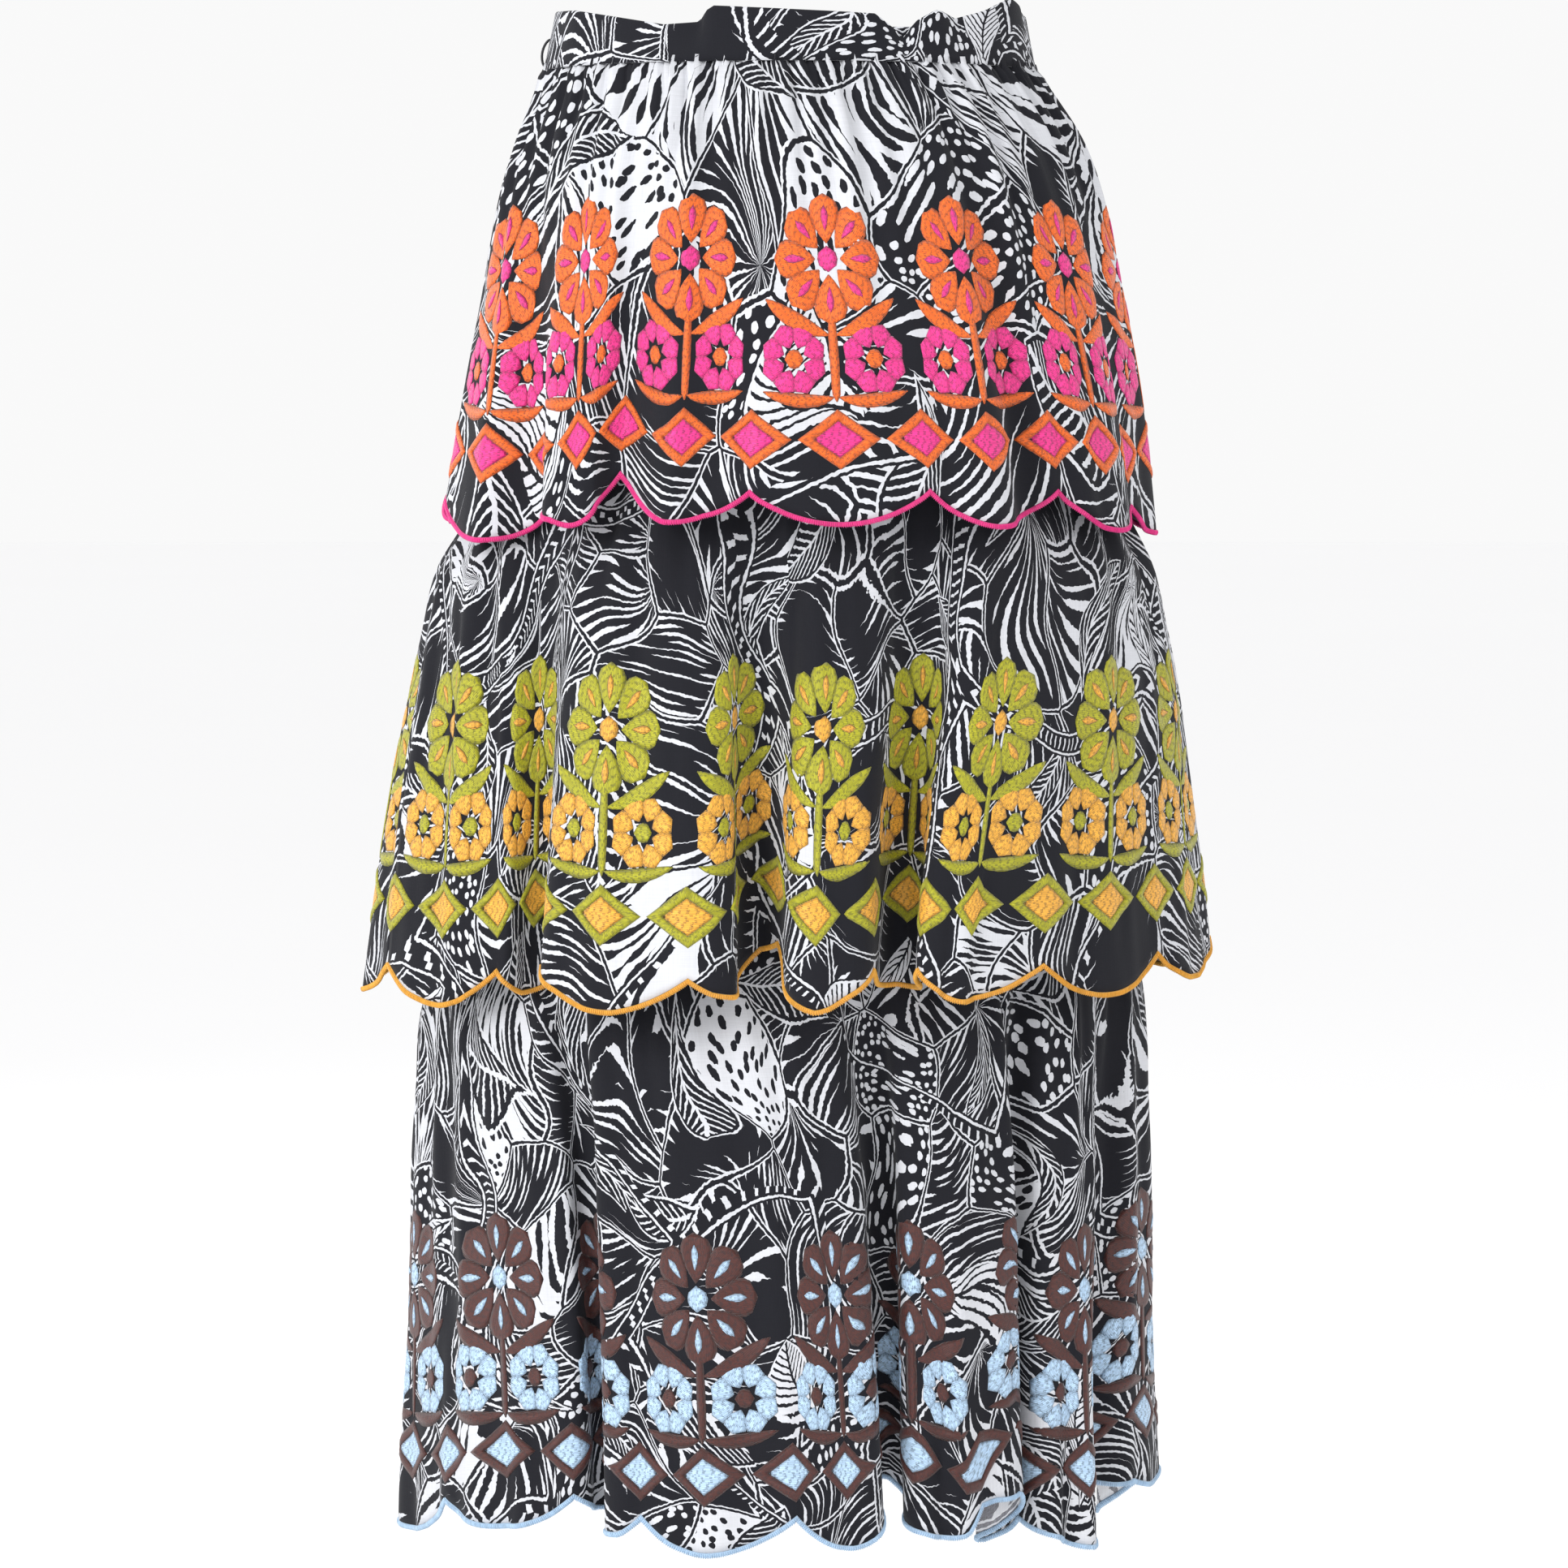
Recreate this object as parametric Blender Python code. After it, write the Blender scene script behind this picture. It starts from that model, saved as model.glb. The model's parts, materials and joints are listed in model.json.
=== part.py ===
"""A three-tier pollera skirt, filled out as if worn, with nobody in it.

Metres, +Z up, the front of the skirt faces -Y. The origin is the middle of the waist, on the seam
between the waistband and the top tier. Sizes in the tables are millimetres.

Every tier is a strip of cloth that is gathered onto a ring. A place on a strip is (repeat, drop):
repeat counts the scallops along the strip from near the middle of the front, and drop is the distance
below the strip's own seam. At the seam the strip lies evenly round its ring. Further down it falls into
the folds of its table of turns, which are the places where the hem turns back inwards or outwards.
"""

import math
from collections import namedtuple

import bmesh
import bpy
import numpy as np

MM = 0.001

# The cloth
CLOTH_WALL = 1.4
BAND_WALL = 2.6  # cloth folded double over a stiffening
SEAM_GAP = 0.3
SIDE_SEAM_GAP = 0.6  # on the flat cloth; the gathers draw it up to about half
COLUMNS_A_REPEAT = 8

# The scalloped hems
REPEAT = 96.0  # from one point of the scallops to the next, on the flat cloth
SCALLOP_DEPTH = 17.0
HEM_CORD_RADIUS = 1.4

# Where the seams lie, below the waist
MIDDLE_SEAM = 195.0
BOTTOM_SEAM = 440.0

# The thread loop at the left side of the waist
LOOP_WIRE_RADIUS = 0.8
LOOP_FOOT_HEIGHTS = (1.5, 13.0)
LOOP_STANDS_OUT = 4.2
LOOP_REPEAT = -1.85  # its place along the waistband

# The way the cloth swings between two turns
WIDEST_SWING = math.radians(150)
SWING_STEPS = 24
RING_STEPS = 720
ASPECT = 0.79  # depth over width of the rings, for spacing points evenly along them

# A ring that a strip lies on: its size, how much of the hem's folds it has, and its small gathers.
Section = namedtuple("Section", "drop half_width half_depth centre_x fold_share gather")

# A turn of the hem: its place on the cloth, its bearing from the middle of the front in degrees, how far
# out from the ring it lies, and how much higher than level it hangs.
Turn = namedtuple("Turn", "repeat bearing out lift")

# A strip that is gathered onto rings. Its way is -1 where it hangs from its seam and 1 where it stands.
Strip = namedtuple(
    "Strip",
    "name top way repeats first_repeat middle_repeat gathers length scallop wall row_shares sections turns",
)

TOP_TIER = Strip(
    name="top_tier",
    top=-SEAM_GAP,
    way=-1,
    repeats=14,
    first_repeat=-3.5,
    middle_repeat=-0.10,
    gathers=4,
    length=226.0,
    scallop=SCALLOP_DEPTH,
    wall=CLOTH_WALL,
    row_shares=(0.0, 0.05, 0.15, 0.33, 0.56, 0.79, 1.0),
    sections=(
        Section(0, 133.0, 103.0, 0.5, 0.0, 1.6),
        Section(12, 138.0, 109.0, 3.0, 0.04, 2.2),
        Section(35, 149.5, 119.0, 5.5, 0.12, 2.0),
        Section(60, 158.0, 126.0, 6.0, 0.24, 1.4),
        Section(90, 164.0, 132.0, 6.0, 0.38, 0.8),
        Section(125, 169.5, 137.0, 6.0, 0.52, 0.3),
        Section(160, 175.0, 142.0, 5.5, 0.66, 0.0),
        Section(195, 179.5, 147.0, 4.5, 0.82, 0.0),
        Section(245, 185.5, 152.0, 3.0, 1.0, 0.0),
    ),
    turns=(
        Turn(-3.45, -76, 9, -4),
        Turn(-3.05, -61, 9, -6),
        Turn(-2.60, -50, -11, -7),
        Turn(-2.28, -40, 12, 0),
        Turn(-2.00, -36, 14, 3),
        Turn(-1.48, -31, -6, 13),
        Turn(-1.12, -21, 9, 4),
        Turn(-0.84, -15, 2, 6),
        Turn(-0.45, -6, 8, 3),
        Turn(0.45, 21, 6, 4),
        Turn(1.00, 33, 11, 2),
        Turn(1.30, 43, -5, 3),
        Turn(1.52, 49, 4, 3),
        Turn(1.95, 58, 12, 0),
        Turn(2.50, 75, 3, -6),
        Turn(3.00, 91, 9, -4),
        Turn(3.45, 104, -7, 2),
        Turn(4.00, 117, 16, 0),
        Turn(4.55, 130, -12, 3),
        Turn(5.10, 144, 20, 1),
        Turn(5.65, 158, -14, 5),
        Turn(6.20, 171, 21, 0),
        Turn(6.75, 185, -14, 2),
        Turn(7.30, 199, 21, 1),
        Turn(7.85, 213, -12, 4),
        Turn(8.40, 227, 20, 0),
        Turn(8.95, 241, -7, 3),
        Turn(9.50, 255, 16, 0),
        Turn(10.05, 270, 0, 2),
    ),
)

MIDDLE_TIER = Strip(
    name="middle_tier",
    top=-MIDDLE_SEAM - SEAM_GAP,
    way=-1,
    repeats=18,
    first_repeat=-4.5,
    middle_repeat=-0.30,
    gathers=2,
    length=278.0,
    scallop=SCALLOP_DEPTH,
    wall=CLOTH_WALL,
    row_shares=(0.0, 0.09, 0.24, 0.45, 0.72, 1.0),
    sections=(
        Section(0, 158.0, 121.0, 3.5, 0.0, 1.4),
        Section(25, 166.0, 125.0, 4.0, 0.05, 1.4),
        Section(48, 177.0, 130.0, 4.5, 0.14, 1.0),
        Section(72, 188.0, 140.0, 4.0, 0.33, 0.5),
        Section(105, 194.0, 150.0, 4.0, 0.48, 0.0),
        Section(140, 199.0, 158.0, 4.0, 0.60, 0.0),
        Section(175, 203.0, 164.0, 2.5, 0.72, 0.0),
        Section(212, 207.0, 170.0, 1.5, 0.83, 0.0),
        Section(250, 211.0, 175.0, 1.0, 0.93, 0.0),
        Section(300, 216.0, 180.0, 0.0, 1.0, 0.0),
    ),
    turns=(
        Turn(-5.00, -84, 16, -4),
        Turn(-4.45, -68, 15, -3),
        Turn(-4.00, -56, 9, -4),
        Turn(-3.50, -46, 0, -1),
        Turn(-2.85, -42, -24, 6),
        Turn(-2.32, -32, 17, 3),
        Turn(-1.90, -23, 20, 0),
        Turn(-1.38, -10, 18, 1),
        Turn(-0.66, -5, -26, 22),
        Turn(0.00, 3, 19, 2),
        Turn(0.30, 7, 17, 3),
        Turn(0.95, 17, -28, 11),
        Turn(1.65, 19, 19, 4),
        Turn(2.10, 24, 18, 7),
        Turn(2.90, 45, 12, 4),
        Turn(3.50, 61, 9, 5),
        Turn(4.00, 74, 12, 6),
        Turn(4.50, 87, 14, 6),
        Turn(5.10, 99, -12, 5),
        Turn(5.70, 112, 19, 0),
        Turn(6.30, 126, -18, 4),
        Turn(6.90, 139, 19, 0),
        Turn(7.50, 152, -19, 3),
        Turn(8.10, 166, 19, 0),
        Turn(8.70, 179, -19, 5),
        Turn(9.30, 192, 19, 0),
        Turn(9.90, 206, -19, 3),
        Turn(10.50, 219, 19, 0),
        Turn(11.10, 232, -18, 4),
        Turn(11.70, 245, 18, 0),
        Turn(12.35, 262, -12, 2),
    ),
)

BOTTOM_TIER = Strip(
    name="bottom_tier",
    top=-BOTTOM_SEAM - SEAM_GAP,
    way=-1,
    repeats=18,
    first_repeat=-5.5,
    middle_repeat=-0.95,
    gathers=2,
    length=316.0,
    scallop=SCALLOP_DEPTH,
    wall=CLOTH_WALL,
    row_shares=(0.0, 0.09, 0.24, 0.46, 0.73, 1.0),
    sections=(
        Section(0, 172.0, 136.0, -1.0, 0.0, 1.4),
        Section(25, 185.0, 141.0, -2.0, 0.12, 1.4),
        Section(50, 191.0, 147.0, -3.0, 0.26, 1.0),
        Section(75, 193.5, 153.0, -4.0, 0.42, 0.4),
        Section(110, 193.0, 156.0, -4.5, 0.58, 0.0),
        Section(145, 194.0, 158.0, -5.0, 0.68, 0.0),
        Section(200, 194.0, 160.0, -5.5, 0.80, 0.0),
        Section(255, 194.0, 162.0, -6.0, 0.90, 0.0),
        Section(340, 196.5, 164.0, -6.0, 1.0, 0.0),
    ),
    turns=(
        Turn(-5.25, -89, 11, -18),
        Turn(-4.75, -71, 4, -13),
        Turn(-4.00, -45, 8, 4),
        Turn(-3.50, -32, 4, 7),
        Turn(-3.10, -30, -20, 14),
        Turn(-2.68, -23, 18, 2),
        Turn(-2.00, -10, 22, 1),
        Turn(-1.50, 3, 20, 4),
        Turn(-0.85, 12.5, 18, 4),
        Turn(-0.38, 20, -26, 22),
        Turn(0.05, 22, 9, 11),
        Turn(0.50, 27, 16, 8),
        Turn(0.85, 35, 6, 24),
        Turn(1.25, 43, -12, 14),
        Turn(1.60, 44, 12, 2),
        Turn(2.05, 51, 18, -4),
        Turn(2.45, 58, -10, 10),
        Turn(2.85, 68, 12, 14),
        Turn(3.35, 84, 12, 12),
        Turn(3.90, 95, -15, 6),
        Turn(4.45, 106, 18, 0),
        Turn(5.00, 117, -20, 6),
        Turn(5.55, 129, 19, -2),
        Turn(6.10, 140, -20, 8),
        Turn(6.70, 152, 20, 0),
        Turn(7.30, 164, -21, 5),
        Turn(7.90, 176, 20, -3),
        Turn(8.50, 188, -21, 7),
        Turn(9.10, 200, 20, 0),
        Turn(9.70, 212, -21, 6),
        Turn(10.30, 224, 20, -3),
        Turn(10.90, 236, -19, 6),
        Turn(11.50, 247, 18, -4),
        Turn(12.10, 258, -14, -6),
    ),
)

# The waistband runs upwards from the waist seam. Its repeats are the same length as the others.
WAISTBAND = Strip(
    name="waistband",
    top=0.0,
    way=1,
    repeats=8,
    first_repeat=-2.0,
    middle_repeat=0.0,
    gathers=0,
    length=25.0,
    scallop=0.0,
    wall=BAND_WALL,
    row_shares=(0.0, 0.5, 1.0),
    sections=(
        Section(0, 132.2, 102.2, 0.0, 0.0, 0.0),
        Section(12, 129.5, 99.0, 0.0, 0.4, 0.0),
        Section(36, 124.5, 95.0, 0.0, 1.0, 0.0),
    ),
    turns=(
        Turn(-2.00, -90, 0, 7),
        Turn(-1.46, -63, 2, 5),
        Turn(-1.10, -46, 0, 0),
        Turn(-0.77, -31, -3, -5),
        Turn(-0.56, -22.5, -5, -4),
        Turn(-0.44, -18, 5, 4),
        Turn(0.00, 0, 3, 2),
        Turn(0.50, 20, 4, 0),
        Turn(0.60, 24, 1, -6),
        Turn(0.68, 27, -5, -13),
        Turn(0.78, 31, 2, -3),
        Turn(0.90, 36.5, 4, 3),
        Turn(1.06, 44, -2, -1),
        Turn(1.26, 54, 2, 4),
        Turn(1.52, 66, 4, 12),
        Turn(1.86, 83, 0, 5),
        Turn(2.10, 95, 1, 5),
        Turn(2.35, 107, -3, 5),
        Turn(2.60, 119, 3, 5),
        Turn(2.85, 131, -3, 5),
        Turn(3.10, 141, 3, 5),
        Turn(3.35, 152, -3, 5),
        Turn(3.60, 162, 3, 5),
        Turn(3.85, 173, -3, 5),
        Turn(4.10, 184, 3, 5),
        Turn(4.35, 195, -3, 5),
        Turn(4.60, 205, 3, 5),
        Turn(4.85, 216, -3, 5),
        Turn(5.10, 227, 3, 5),
        Turn(5.35, 238, -3, 5),
        Turn(5.65, 251, 3, 6),
    ),
)

Plain = namedtuple("Plain", "name top bottom columns rows rings")
PlainRing = namedtuple("PlainRing", "drop half_width half_depth centre_x")

# The plain base that the two lower tiers are sewn to
UPPER_BASE = Plain(
    name="upper_base",
    top=SEAM_GAP,
    bottom=MIDDLE_SEAM,
    columns=20,
    rows=3,
    rings=(
        PlainRing(0, 128.0, 98.5, 0.5),
        PlainRing(100, 143.0, 112.0, 4.0),
        PlainRing(200, 158.0, 121.0, 3.5),
    ),
)
LOWER_BASE = Plain(
    name="lower_base",
    top=MIDDLE_SEAM + SEAM_GAP,
    bottom=BOTTOM_SEAM,
    columns=20,
    rows=3,
    rings=(
        PlainRing(190, 154.5, 117.6, 3.5),
        PlainRing(320, 162.0, 122.0, 1.0),
        PlainRing(445, 172.0, 136.0, -1.0),
    ),
)

Finish = namedtuple("Finish", "colour roughness")
PRINTED_COTTON = Finish((0.20, 0.20, 0.21), 0.9)
PLAIN_COTTON = Finish((0.80, 0.80, 0.82), 0.9)
PINK_THREAD = Finish((0.87, 0.05, 0.30), 0.55)
YELLOW_THREAD = Finish((0.90, 0.38, 0.05), 0.55)
BLUE_THREAD = Finish((0.42, 0.62, 0.85), 0.55)
BLACK_THREAD = Finish((0.02, 0.02, 0.02), 0.6)


def clear_scene():
    for obj in list(bpy.data.objects):
        bpy.data.objects.remove(obj)


def smooth_value(rows, field, at):
    """A column of a table at the drops given, on a smooth curve through the rows."""
    drops = np.array([row.drop for row in rows], float)
    values = np.array([getattr(row, field) for row in rows], float)
    slopes = np.gradient(values, drops)
    at = np.clip(at, drops[0], drops[-1])
    left = np.clip(np.searchsorted(drops, at, side="right") - 1, 0, len(drops) - 2)
    span = drops[left + 1] - drops[left]
    t = (at - drops[left]) / span
    rise = values[left + 1] - values[left]
    bend_in = slopes[left] * span - rise
    bend_out = rise - slopes[left + 1] * span
    return values[left] + rise * t + t * (1 - t) * ((1 - t) * bend_in + t * bend_out)


def even_angles():
    """Bearings evenly spaced along a ring of the usual aspect, for each share of a turn."""
    bearings = np.linspace(0, 360, RING_STEPS + 1)
    angles = np.radians(bearings)
    steps = np.hypot(np.diff(np.sin(angles)), ASPECT * np.diff(np.cos(angles)))
    shares = np.concatenate([[0.0], np.cumsum(steps)]) / steps.sum()
    return shares, bearings


RING_SHARES, RING_BEARINGS = even_angles()
SWINGS = np.linspace(0, WIDEST_SWING, 160)
SWING_WAVE = np.sin(math.pi * (np.arange(SWING_STEPS) + 0.5) / SWING_STEPS)
SWING_ACROSS = np.cos(SWINGS[:, None] * SWING_WAVE).mean(axis=1)
SWING_OUT = np.sin(SWINGS[:, None] * SWING_WAVE).mean(axis=1)
SWING_STEEPNESS = np.arctan2(SWING_OUT, SWING_ACROSS)


def swing_between(across, rise):
    """How far the cloth has got across and out, step by step, as it swings from one turn to the next."""
    swing = np.interp(math.atan2(abs(rise), across), SWING_STEEPNESS, SWINGS)
    heading = swing * SWING_WAVE
    run = np.concatenate([[0.0], np.cumsum(np.cos(heading))])
    climb = np.concatenate([[0.0], np.cumsum(np.sin(heading))])
    size = math.hypot(across, rise) / math.hypot(run[-1], climb[-1])
    return run * size, climb * size * math.copysign(1, rise)


def closed_turns(strip):
    """The strip's turns, with the first one again at the far end."""
    first = strip.turns[0]
    again = first._replace(repeat=first.repeat + strip.repeats, bearing=first.bearing + 360)
    return [*strip.turns, again]


def hem_line(strip):
    """The strip seen from above at its free edge: repeats, and the bearing and way out of each."""
    ring = strip.sections[-1]
    first = strip.turns[0]
    repeats, bearings, outs = [first.repeat], [first.bearing], [first.out]
    rows = closed_turns(strip)
    for here, there in zip(rows[:-1], rows[1:]):
        middle = math.radians((here.bearing + there.bearing) / 2)
        a_degree = math.hypot(ring.half_width * math.cos(middle), ring.half_depth * math.sin(middle))
        a_degree *= math.pi / 180
        across, climb = swing_between(
            (there.bearing - here.bearing) * a_degree, there.out - here.out
        )
        repeats.extend(np.linspace(here.repeat, there.repeat, SWING_STEPS + 1)[1:])
        bearings.extend(here.bearing + across[1:] / a_degree)
        outs.extend(here.out + climb[1:])
    return np.array(repeats), np.array(bearings), np.array(outs)


def even_bearing(strip, repeat):
    """The bearing of a place on a strip that is gathered evenly all round."""
    laps, share = np.divmod((repeat - strip.middle_repeat) / strip.repeats, 1.0)
    return 360 * laps + np.interp(share, RING_SHARES, RING_BEARINGS)


class Folds:
    """Where each place of a strip lies on its ring: evenly at the seam, and in its folds at the hem."""

    def __init__(self, strip):
        self.strip = strip
        self.repeats, self.bearings, self.outs = hem_line(strip)

    def at(self, repeat, share):
        laps, within = np.divmod(repeat - self.repeats[0], self.strip.repeats)
        within = within + self.repeats[0]
        hem_bearing = 360 * laps + np.interp(within, self.repeats, self.bearings)
        seam_bearing = even_bearing(self.strip, repeat)
        bearing = seam_bearing + (hem_bearing - seam_bearing) * share
        return bearing, np.interp(within, self.repeats, self.outs) * share


def ring_place(bearing, half_width, half_depth, centre_x, out):
    """A place on a ring, moved outwards."""
    angle = np.radians(bearing)
    facing_x, facing_y = half_depth * np.sin(angle), -half_width * np.cos(angle)
    size = np.hypot(facing_x, facing_y)
    x = centre_x + half_width * np.sin(angle) + out * facing_x / size
    y = -half_depth * np.cos(angle) + out * facing_y / size
    return x, y


def cloth_line(strip, folds, repeat, drop):
    """The middle of the cloth at each (repeat, drop), as x, y and z in millimetres."""
    values = {f: smooth_value(strip.sections, f, drop) for f in Section._fields[1:]}
    bearing, out = folds.at(repeat, values["fold_share"])
    out = out + values["gather"] * np.cos(2 * math.pi * strip.gathers * repeat)
    x, y = ring_place(bearing, values["half_width"], values["half_depth"], values["centre_x"], out)
    return np.stack([x, y, strip.top + strip.way * drop], axis=-1)


def outward_at(strip, folds, repeat, drop):
    """The level direction that the cloth's right side faces at each (repeat, drop)."""
    step = 0.5 / COLUMNS_A_REPEAT
    run = cloth_line(strip, folds, repeat + step, drop) - cloth_line(strip, folds, repeat - step, drop)
    outward = np.stack([run[..., 1], -run[..., 0], np.zeros_like(run[..., 0])], axis=-1)
    return outward / np.linalg.norm(outward, axis=-1, keepdims=True)


def lift_at(strip, repeat):
    """How much higher the free edge lies at a place than it would on level cloth."""
    rows = closed_turns(strip)
    within = strip.turns[0].repeat + (repeat - strip.turns[0].repeat) % strip.repeats
    return np.interp(within, [row.repeat for row in rows], [row.lift for row in rows])


def edge_drop(strip, repeat):
    """The drop of the strip's free edge: scallops with their points halfway between whole repeats."""
    from_middle = repeat - np.round(repeat)
    scallop = strip.scallop * (1 - (2 * from_middle) ** 2)
    return strip.length + scallop + strip.way * lift_at(strip, repeat)


def panel_repeats(strip, first, last):
    """The columns of a panel, drawn in a little at its two side seams."""
    repeats = np.linspace(first, last, round((last - first) * COLUMNS_A_REPEAT) + 1)
    repeats[0] += SIDE_SEAM_GAP / 2 / REPEAT
    repeats[-1] -= SIDE_SEAM_GAP / 2 / REPEAT
    return repeats


def make_material(name, finish):
    material = bpy.data.materials.get(name) or bpy.data.materials.new(name)
    material.use_nodes = True
    shader = material.node_tree.nodes["Principled BSDF"]
    shader.inputs["Base Color"].default_value = (*finish.colour, 1.0)
    shader.inputs["Roughness"].default_value = finish.roughness
    shader.inputs["Metallic"].default_value = 0.0
    return material


def add_object(name, data, material, collection):
    obj = bpy.data.objects.new(name, data)
    obj.data.materials.append(material)
    collection.objects.link(obj)
    return obj


def add_sheet(shell, points):
    """A grid through rows and columns of points in millimetres. Returns its edges along the outside."""
    rows, columns = points.shape[:2]
    before = set(shell.verts)
    made = bmesh.ops.create_grid(shell, x_segments=columns - 1, y_segments=rows - 1, size=0.5)
    for vertex in set(made["verts"]) - before:
        column = round((vertex.co.x + 0.5) * (columns - 1))
        row = round((0.5 - vertex.co.y) * (rows - 1))
        vertex.co = points[row, column] * MM
    return list({edge for vertex in made["verts"] for edge in vertex.link_edges if edge.is_boundary})


def make_shell(name, outside, inside, material, collection):
    """One piece of cloth with a wall: an outer and an inner sheet, joined round their edges."""
    shell = bmesh.new()
    edges = add_sheet(shell, outside) + add_sheet(shell, inside)
    bmesh.ops.bridge_loops(shell, edges=edges)
    bmesh.ops.recalc_face_normals(shell, faces=shell.faces)
    mesh = bpy.data.meshes.new(name)
    shell.to_mesh(mesh)
    shell.free()
    mesh.shade_smooth()
    mesh.set_sharp_from_angle(angle=math.radians(50))
    return add_object(name, mesh, material, collection)


def make_panel(name, strip, folds, first, last, material, collection):
    """One panel of a gathered strip, from one side seam to the other."""
    repeats = panel_repeats(strip, first, last)
    drops = np.array(strip.row_shares)[:, None] * edge_drop(strip, repeats)
    places = np.broadcast_to(repeats, drops.shape)
    middle = cloth_line(strip, folds, places, drops)
    half_wall = outward_at(strip, folds, places, drops) * strip.wall / 2
    make_shell(name, middle + half_wall, middle - half_wall, material, collection)


def make_front_and_back(strip, material, collection):
    folds = Folds(strip)
    first = strip.first_repeat
    middle = first + strip.repeats / 2
    make_panel(f"{strip.name}_front", strip, folds, first, middle, material, collection)
    make_panel(f"{strip.name}_back", strip, folds, middle, first + strip.repeats, material, collection)
    return folds


def make_hem_cord(name, strip, folds, material, collection):
    """The thick stitched edge of a hem: one closed round cord just below the cloth's own edge."""
    repeats = strip.first_repeat + np.arange(strip.repeats * COLUMNS_A_REPEAT) / COLUMNS_A_REPEAT
    points = cloth_line(strip, folds, repeats, edge_drop(strip, repeats))
    steps = np.roll(points, -1, axis=0) - points
    steepness = np.abs(steps[:, 2]) / np.hypot(steps[:, 0], steps[:, 1])
    steepness = np.maximum(steepness, np.roll(steepness, 1))
    points[:, 2] -= (HEM_CORD_RADIUS + SEAM_GAP) * np.hypot(1.0, steepness)
    curve = bpy.data.curves.new(name, "CURVE")
    curve.dimensions = "3D"
    curve.bevel_depth = HEM_CORD_RADIUS * MM
    curve.bevel_resolution = 0
    spline = curve.splines.new("POLY")
    spline.points.add(len(points) - 1)
    for place, point in zip(spline.points, points):
        place.co = (*(point * MM), 1.0)
    spline.use_cyclic_u = True
    return add_object(name, curve, material, collection)


def make_base(plain, material, collection):
    """The plain tube that a lower tier hangs from, in a front half and a back half."""
    drops = np.linspace(plain.top, plain.bottom, plain.rows)
    sizes = {f: smooth_value(plain.rings, f, drops)[:, None] for f in PlainRing._fields[1:]}
    for half, first in (("front", -90.0), ("back", 90.0)):
        bearings = np.linspace(first, first + 180, plain.columns + 1)
        inset = math.degrees(SEAM_GAP / 2 / plain.rings[0].half_depth)
        bearings[0] += inset
        bearings[-1] -= inset
        sheets = []
        for out in (CLOTH_WALL / 2, -CLOTH_WALL / 2):
            x, y = ring_place(bearings, **sizes, out=out)
            sheets.append(np.stack([x, y, np.broadcast_to(-drops[:, None], x.shape)], axis=-1))
        make_shell(f"{plain.name}_{half}", *sheets, material, collection)


def make_side_loop(material, collection):
    """The thread loop for a belt: a bowed cord whose two ends meet the outside of the waistband."""
    low, high = LOOP_FOOT_HEIGHTS
    heights = np.array([low, low + 1.0, (low + high) / 2, high - 1.0, high])
    foot = BAND_WALL / 2 + SEAM_GAP
    outs = np.array([foot, LOOP_STANDS_OUT - 0.6, LOOP_STANDS_OUT, LOOP_STANDS_OUT - 0.6, foot])
    folds = Folds(WAISTBAND)
    repeats = np.full(len(heights), LOOP_REPEAT)
    points = cloth_line(WAISTBAND, folds, repeats, heights)
    points = points + outs[:, None] * outward_at(WAISTBAND, folds, repeats, heights)
    curve = bpy.data.curves.new("side_loop", "CURVE")
    curve.dimensions = "3D"
    curve.bevel_depth = LOOP_WIRE_RADIUS * MM
    curve.bevel_resolution = 1
    curve.use_fill_caps = True
    spline = curve.splines.new("POLY")
    spline.points.add(len(points) - 1)
    for place, point in zip(spline.points, points):
        place.co = (*(point * MM), 1.0)
    return add_object("side_loop", curve, material, collection)


def main():
    clear_scene()
    collection = bpy.data.collections.new("pollera_skirt")
    bpy.context.scene.collection.children.link(collection)
    printed = make_material("printed_cotton", PRINTED_COTTON)
    plain = make_material("plain_cotton", PLAIN_COTTON)
    cords = (
        (TOP_TIER, "hem_cord_top", make_material("pink_thread", PINK_THREAD)),
        (MIDDLE_TIER, "hem_cord_middle", make_material("yellow_thread", YELLOW_THREAD)),
        (BOTTOM_TIER, "hem_cord_bottom", make_material("blue_thread", BLUE_THREAD)),
    )
    make_front_and_back(WAISTBAND, printed, collection)
    for strip, cord_name, thread in cords:
        folds = make_front_and_back(strip, printed, collection)
        make_hem_cord(cord_name, strip, folds, thread, collection)
    make_base(UPPER_BASE, plain, collection)
    make_base(LOWER_BASE, plain, collection)
    make_side_loop(make_material("black_thread", BLACK_THREAD), collection)


main()
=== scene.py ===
# %% [markdown]
# # A three-tier pollera skirt
# A pollera is a full folk skirt of gathered tiers. This one has a waistband, three tiers of printed
# cotton with scalloped hems, and a band of embroidery above each hem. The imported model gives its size
# and its folds. This lesson dresses it: thin cloth with fine gathers, a block print, a weave, and thread.

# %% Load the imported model
import json
import math
from collections import namedtuple

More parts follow.
